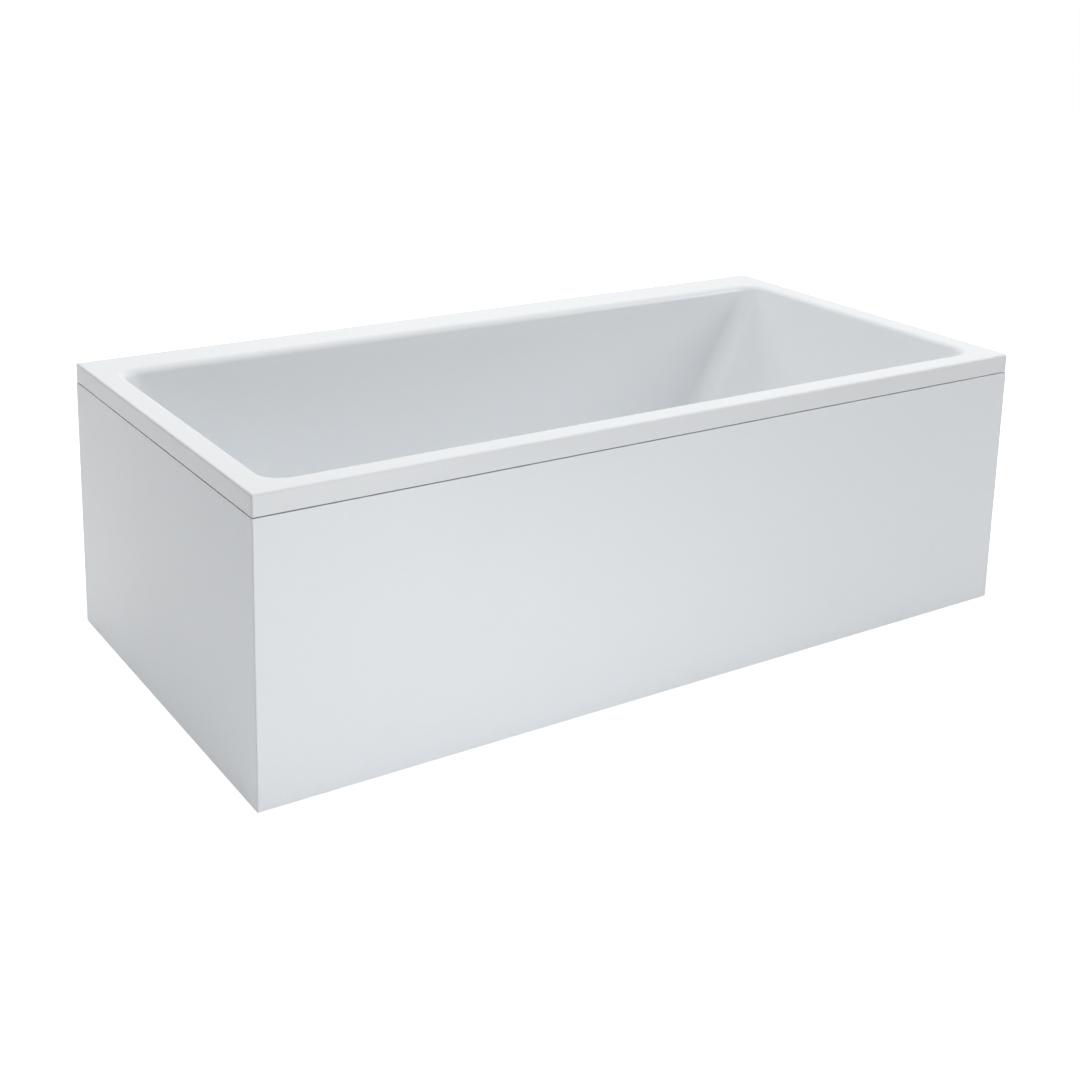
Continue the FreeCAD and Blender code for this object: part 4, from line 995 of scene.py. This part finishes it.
# ribs in a ring round each point, about the point's own axis
def ribTree():
    tree, inputs = growTree("ringOfRibs", {
        "Count": ("Int", foot["ribs"]),
        "Ring Radius": ("Float", foot["ribRadius"]),
        "Rib Size": ("Vector", foot["ribSize"]),
    })
    ring = grow(tree, "GeometryNodeMeshCircle",
                {"Vertices": inputs["Count"], "Radius": inputs["Ring Radius"]}).outputs[0]
    place = grow(tree, "GeometryNodeInputPosition").outputs[0]
    out = grow(tree, "FunctionNodeAlignRotationToVector", {"Vector": place}, axis="X",
               pivot_axis="Z").outputs[0]
    rib = grow(tree, "GeometryNodeMeshCube", {"Size": inputs["Rib Size"]}).outputs[0]
    ribs = grow(tree, "GeometryNodeInstanceOnPoints",
                {"Points": ring, "Instance": rib, "Rotation": out}).outputs[0]
    axis = grow(tree, "GeometryNodeInputNamedAttribute", {"Name": "axis"},
                data_type="FLOAT_VECTOR").outputs[0]
    turn = grow(tree, "FunctionNodeAlignRotationToVector", {"Vector": axis}, axis="Z").outputs[0]
    rings = grow(tree, "GeometryNodeInstanceOnPoints",
                 {"Points": inputs["Geometry"], "Instance": ribs, "Rotation": turn}).outputs[0]
    return endTree(tree, rings, inputs["Material"], smooth=False)


def threadTree():
    tree, inputs = growTree("cutThread", {
        "Thread Radius": ("Float", foot["threadRadius"]),
        "Thread Depth": ("Float", foot["threadDepth"]),
        "Pitch": ("Float", foot["pitch"]),
        "Length": ("Float", foot["top"]),
    })

    def reckon(operation, a, b):
        return grow(tree, "ShaderNodeMath", {0: a, 1: b}, operation=operation).outputs[0]

    turns = reckon("DIVIDE", inputs["Length"], inputs["Pitch"])
    core = reckon("SUBTRACT", inputs["Thread Radius"], inputs["Thread Depth"])
    ridge = reckon("MULTIPLY", inputs["Thread Depth"], foot["ridgeShare"])
    spiral = grow(tree, "GeometryNodeCurveSpiral",
                  {"Resolution": foot["turnSteps"], "Rotations": turns, "Start Radius": core,
                   "End Radius": core, "Height": inputs["Length"]}).outputs[0]
    profile = grow(tree, "GeometryNodeCurvePrimitiveCircle",
                   {"Resolution": 4, "Radius": ridge}).outputs[0]
    helix = grow(tree, "GeometryNodeCurveToMesh",
                 {"Curve": spiral, "Profile Curve": profile, "Fill Caps": True}).outputs[0]
    rod = grow(tree, "GeometryNodeMeshCylinder",
               {"Vertices": foot["shankSides"], "Radius": core,
                "Depth": inputs["Length"]}).outputs[0]
    middle = reckon("DIVIDE", inputs["Length"], 2.0)
    lift = grow(tree, "ShaderNodeCombineXYZ", {"Z": middle}).outputs[0]
    lifted = grow(tree, "GeometryNodeTransform", {"Geometry": rod, "Translation": lift}).outputs[0]
    both = grow(tree, "GeometryNodeJoinGeometry", {"Geometry": helix})
    tree.links.new(lifted, both.inputs[0])
    spots = grow(tree, "GeometryNodeInstanceOnPoints",
                 {"Points": inputs["Geometry"], "Instance": both.outputs[0]}).outputs[0]
    return endTree(tree, spots, inputs["Material"], smooth=False)


ribsTree, cutThread = ribTree(), threadTree()


def footPad():
    radius, thick, floor = foot["padRadius"], foot["padThick"], foot["padFloor"]
    high = thick + foot["padBoss"]
    outline = [(0, 0), (radius, 0), (radius, thick / 2),
               (foot["collarRadius"] + foot["padShoulder"], thick), (foot["collarRadius"], high),
               (foot["boreRadius"], high), (foot["boreRadius"], floor), (0, floor)]
    body = turnedPiece("footPad", softCorners(outline, foot["padEdge"], closed=False),
                       finishes["foot_plastic"])
    ribs = pointsPiece("padRibs", [(0, 0, foot["ribLevel"])], [(0, 0, 1)])
    growOn(ribs, ribsTree, {"Count": foot["ribs"], "Ring Radius": foot["ribRadius"],
                            "Rib Size": foot["ribSize"], "Material": finishes["foot_plastic"]})
    return joined("footPad", [body, ribs])


def footSpindle():
    steel = finishFor["front_drain_foot_spindle"]
    core, start, collarFoot = foot["threadRadius"], foot["padFloor"], foot["collarFoot"]
    collarTop, shankTop = collarFoot + foot["collarHeight"], collarFoot + foot["overlap"]
    outline = [(0, start), (core, start), (core, shankTop), (0, shankTop)]
    shank = turnedPiece("shank", softCorners(outline, foot["shankEdge"], steps=2, closed=False),
                        steel, foot["shankSides"])
    # the collar's round blank cut down to its flats, its corners turned off
    steps, halfFlat = foot["collarSteps"], math.pi / foot["collarFlats"]
    inwards, along = foot["collarChamfer"]
    rings = [[Vector((0, 0, collarFoot))] * steps]
    for inset, z in ((inwards, collarFoot), (0, collarFoot + along), (0, collarTop - along),
                     (inwards, collarTop)):
        ring = []
        for k in range(steps):
            a = 2 * math.pi * k / steps
            flat = foot["collarRadius"] * math.cos(halfFlat) / math.cos(
                (a + halfFlat) % (2 * halfFlat) - halfFlat)
            r = min(flat, foot["collarRadius"] - inset)
            ring.append(Vector((r * math.cos(a), r * math.sin(a), z)))
        rings.append(ring)
    rings.append([Vector((0, 0, collarTop))] * steps)
    collar = ringMesh("collar", rings, steel, closed=False, sharp=20)
    thread = pointsPiece("thread", [(0, 0, collarTop - foot["threadSunk"])])
    growOn(thread, cutThread, {"Thread Radius": foot["threadRadius"], "Pitch": foot["pitch"],
                               "Thread Depth": foot["threadDepth"],
                               "Length": foot["top"] - collarTop + foot["threadSunk"],
                               "Material": steel})
    return joined("footSpindle", [collar, shank, thread])


pad, spindle = footPad(), footSpindle()
for name, (x, y) in footSpots.items():
    for pattern, kind in ((pad, "foot_pad"), (spindle, "foot_spindle")):
        node = f"{name}_{kind}"
        standFor(shiftedCopy(pattern, camel(node), (x, y, 0)), node)
bpy.data.objects.remove(pad)
bpy.data.objects.remove(spindle)
print("feet made:", len(footSpots))


# grip ribs round the slip nuts: middle of each nut, its axis, and how far out its wall is
nutRibs = {
    "small": {"reach": 0.0207, "count": 18, "nuts": [
        ((-0.85, middleY, 0.4548), (0.20486, 0, -0.97879)),
        ((-0.6931, middleY, 0.11), (1, 0, 0)),
    ]},
    "large": {"reach": 0.0267, "count": 22, "nuts": [
        ((-0.5681, middleY, 0.096), (1, 0, 0)),
        ((-0.5989, middleY, 0.096), (1, 0, 0)),
        ((-0.511, 0.0336, 0.068), (0, 1, 0)),
    ]},
    "size": (0.0026, 0.0022, 0.0106),
}
for size in ("small", "large"):
    group = nutRibs[size]
    ribs = pointsPiece(size + "NutRibs", [spot for spot, way in group["nuts"]],
                       [way for spot, way in group["nuts"]])
    growOn(ribs, ribsTree, {"Count": group["count"], "Ring Radius": group["reach"],
                            "Rib Size": nutRibs["size"], "Material": finishFor["union_nuts"]})
    addTo(ribs, "tub")
print("nut ribs made")


# these keep their solid's form, with its sharp edges broken by this much
brokenEdges = {
    "front_panel": 0.0010,
    "end_panel": 0.0010,
    "front_panel_board": 0.0006,
    "end_panel_board": 0.0006,
    "base_board": 0.0010,
    "corner_batten": 0.0008,
    "front_hanging_rail": 0.0008,
    "end_hanging_rail": 0.0008,
    "panel_brackets": 0.0006,
    "panel_magnets": 0.0009,
    "panel_keepers": 0.0004,
    "wall_anchors": 0.0006,
    "foot_inserts": 0.0004,
    "lock_nuts": 0.0007,
    "board_screws": 0.0006,
    "fitting_gaskets": 0.0008,
    "overflow_body": 0.0006,
    "overflow_clamp": 0.0004,
    "waste_body": 0.0006,
    "waste_flange": 0.0005,
    "trap_cup": 0.0006,
    "dip_tube": 0.0006,
    "union_nuts": 0.0006,
}
edgeBreak = {"merge": 1e-6, "flatBelow": 0.4, "sharpAbove": 35, "steps": 3}


def brokenCopy(node, width):
    sheet = bmesh.new()
    sheet.from_mesh(frame["nodes"][node].data)
    bmesh.ops.remove_doubles(sheet, verts=sheet.verts, dist=edgeBreak["merge"])
    bmesh.ops.dissolve_limit(sheet, angle_limit=math.radians(edgeBreak["flatBelow"]),
                             verts=sheet.verts, edges=sheet.edges)
    sheet.verts.index_update()
    corners = [tuple(v.co) for v in sheet.verts]
    faces = [[v.index for v in face.verts] for face in sheet.faces]
    sheet.free()
    mesh = bpy.data.meshes.new(camel(node))
    mesh.from_pydata(corners, [], faces)
    mesh.shade_smooth()
    mesh.materials.append(finishFor[node])
    piece = addObject(camel(node), mesh)
    edge = piece.modifiers.new("brokenEdges", "BEVEL")
    edge.limit_method = "ANGLE"
    edge.angle_limit = math.radians(edgeBreak["sharpAbove"])
    edge.width = width
    edge.segments = edgeBreak["steps"]
    edge.harden_normals = True
    return bakeModifiers(piece)


for node, width in brokenEdges.items():
    standFor(brokenCopy(node, width), node)
print("edges broken on", len(brokenEdges), "nodes")


# white paper floor and sky for the camera, soft boxes for the light
studio = {
    "floorColour": (0.9, 0.9, 0.9),
    "skyColour": (0.94, 0.97, 1.0),
    "skyStrength": 0.09,
    "paperReach": 60.0,
    "paperWhite": 1.01,  # what the camera sees of it, just past white
    # chrome and zinc would show these as blank white on top of the white sky
    "hiddenInGloss": ("overhead", "overFront", "overHeadEnd", "overWall", "lowBack"),
    "lamps": {
        # place, aim, size, watts
        "overhead": ((-0.1, 0.3, 3.6), (0, 0.05, 0.4), (4.2, 3.0), 36),
        "overFront": ((-0.3, -0.7, 3.6), (0, -0.2, 0.4), (4.2, 2.0), 54),
        "overHeadEnd": ((3.0, 0.2, 3.4), (0, 0.05, 0.4), (1.6, 2.0), 18),
        "overWall": ((0.4, 3.2, 3.0), (0, 0.05, 0.4), (3.0, 1.4), 38),
        "roomKey": ((3.6, -2.6, 2.4), (0.3, -0.4, 0.3), (1.8, 1.8), 44),
        "lowFront": ((-0.7, -1.5, 0.3), (-0.45, -0.45, 0.2), (1.6, 0.5), 4.3),
        "lowSide": ((-2.8, 0.9, 0.15), (-0.9, 0.2, 0.1), (1.2, 0.3), 2),
        "lowBack": ((0.3, 2.7, 0.4), (0.2, 0.45, 0.25), (2.2, 0.4), 9),
    },
}


# white to the camera and in reflections, paper to all other light
def whiteWhereSeen(tree):
    path = tree.nodes.new("ShaderNodeLightPath")
    either = path.outputs["Is Camera Ray"]
    for name in ("Is Glossy Ray", "Is Transmission Ray"):
        either = grow(tree, "ShaderNodeMath", {0: either, 1: path.outputs[name]},
                      operation="MAXIMUM").outputs[0]
    return either


def makeFloor(values):
    reach = values["paperReach"]
    mesh = bpy.data.meshes.new("studioFloor")
    mesh.from_pydata([(-reach, -reach, 0), (reach, -reach, 0), (reach, reach, 0),
                      (-reach, reach, 0)], [], [(0, 1, 2, 3)])
    floor = addObject("studioFloor", mesh)
    made = bpy.data.materials.new("studioPaper")
    made.use_nodes = True
    tree = made.node_tree
    tree.nodes.clear()
    paper = grow(tree, "ShaderNodeBsdfDiffuse", {"Color": (*values["floorColour"], 1)})
    # the glow makes up for the light that the paper lacks where only the sky reaches it
    skyLight = values["floorColour"][0] * values["skyStrength"] * values["skyColour"][0]
    level = grow(tree, "ShaderNodeMath",
                 {0: whiteWhereSeen(tree), 1: values["paperWhite"] - skyLight},
                 operation="MULTIPLY").outputs[0]
    glow = grow(tree, "ShaderNodeEmission", {"Color": (1, 1, 1, 1), "Strength": level})
    both = grow(tree, "ShaderNodeAddShader", {0: paper.outputs[0], 1: glow.outputs[0]})
    grow(tree, "ShaderNodeOutputMaterial", {"Surface": both.outputs[0]})
    mesh.materials.append(made)


def makeSky(values):
    world = bpy.data.worlds.new("studioSky")
    bpy.context.scene.world = world
    world.use_nodes = True
    tree = world.node_tree
    tree.nodes.clear()
    light = grow(tree, "ShaderNodeBackground",
                 {"Color": (*values["skyColour"], 1), "Strength": values["skyStrength"]})
    plain = grow(tree, "ShaderNodeBackground", {"Color": (1, 1, 1, 1), "Strength": 1.0})
    pick = grow(tree, "ShaderNodeMixShader",
                {0: whiteWhereSeen(tree), 1: light.outputs[0], 2: plain.outputs[0]})
    grow(tree, "ShaderNodeOutputWorld", {"Surface": pick.outputs[0]})


def makeLamp(name, inGloss, place, aim, size, watts):
    data = bpy.data.lights.new(name, "AREA")
    data.shape = "RECTANGLE"
    data.size, data.size_y = size
    data.energy = watts
    lamp = addObject(name, data)
    lamp.visible_camera = False
    lamp.visible_glossy = inGloss
    turn = (Vector(aim) - Vector(place)).to_track_quat("-Z", "Y").to_matrix().to_4x4()
    lamp.matrix_world = Matrix.Translation(place) @ turn


makeFloor(studio)
makeSky(studio)
for name, lamp in studio["lamps"].items():
    makeLamp(name, name not in studio["hiddenInGloss"], *lamp)
bpy.context.scene.view_settings.view_transform = "Standard"
print("studio lit")
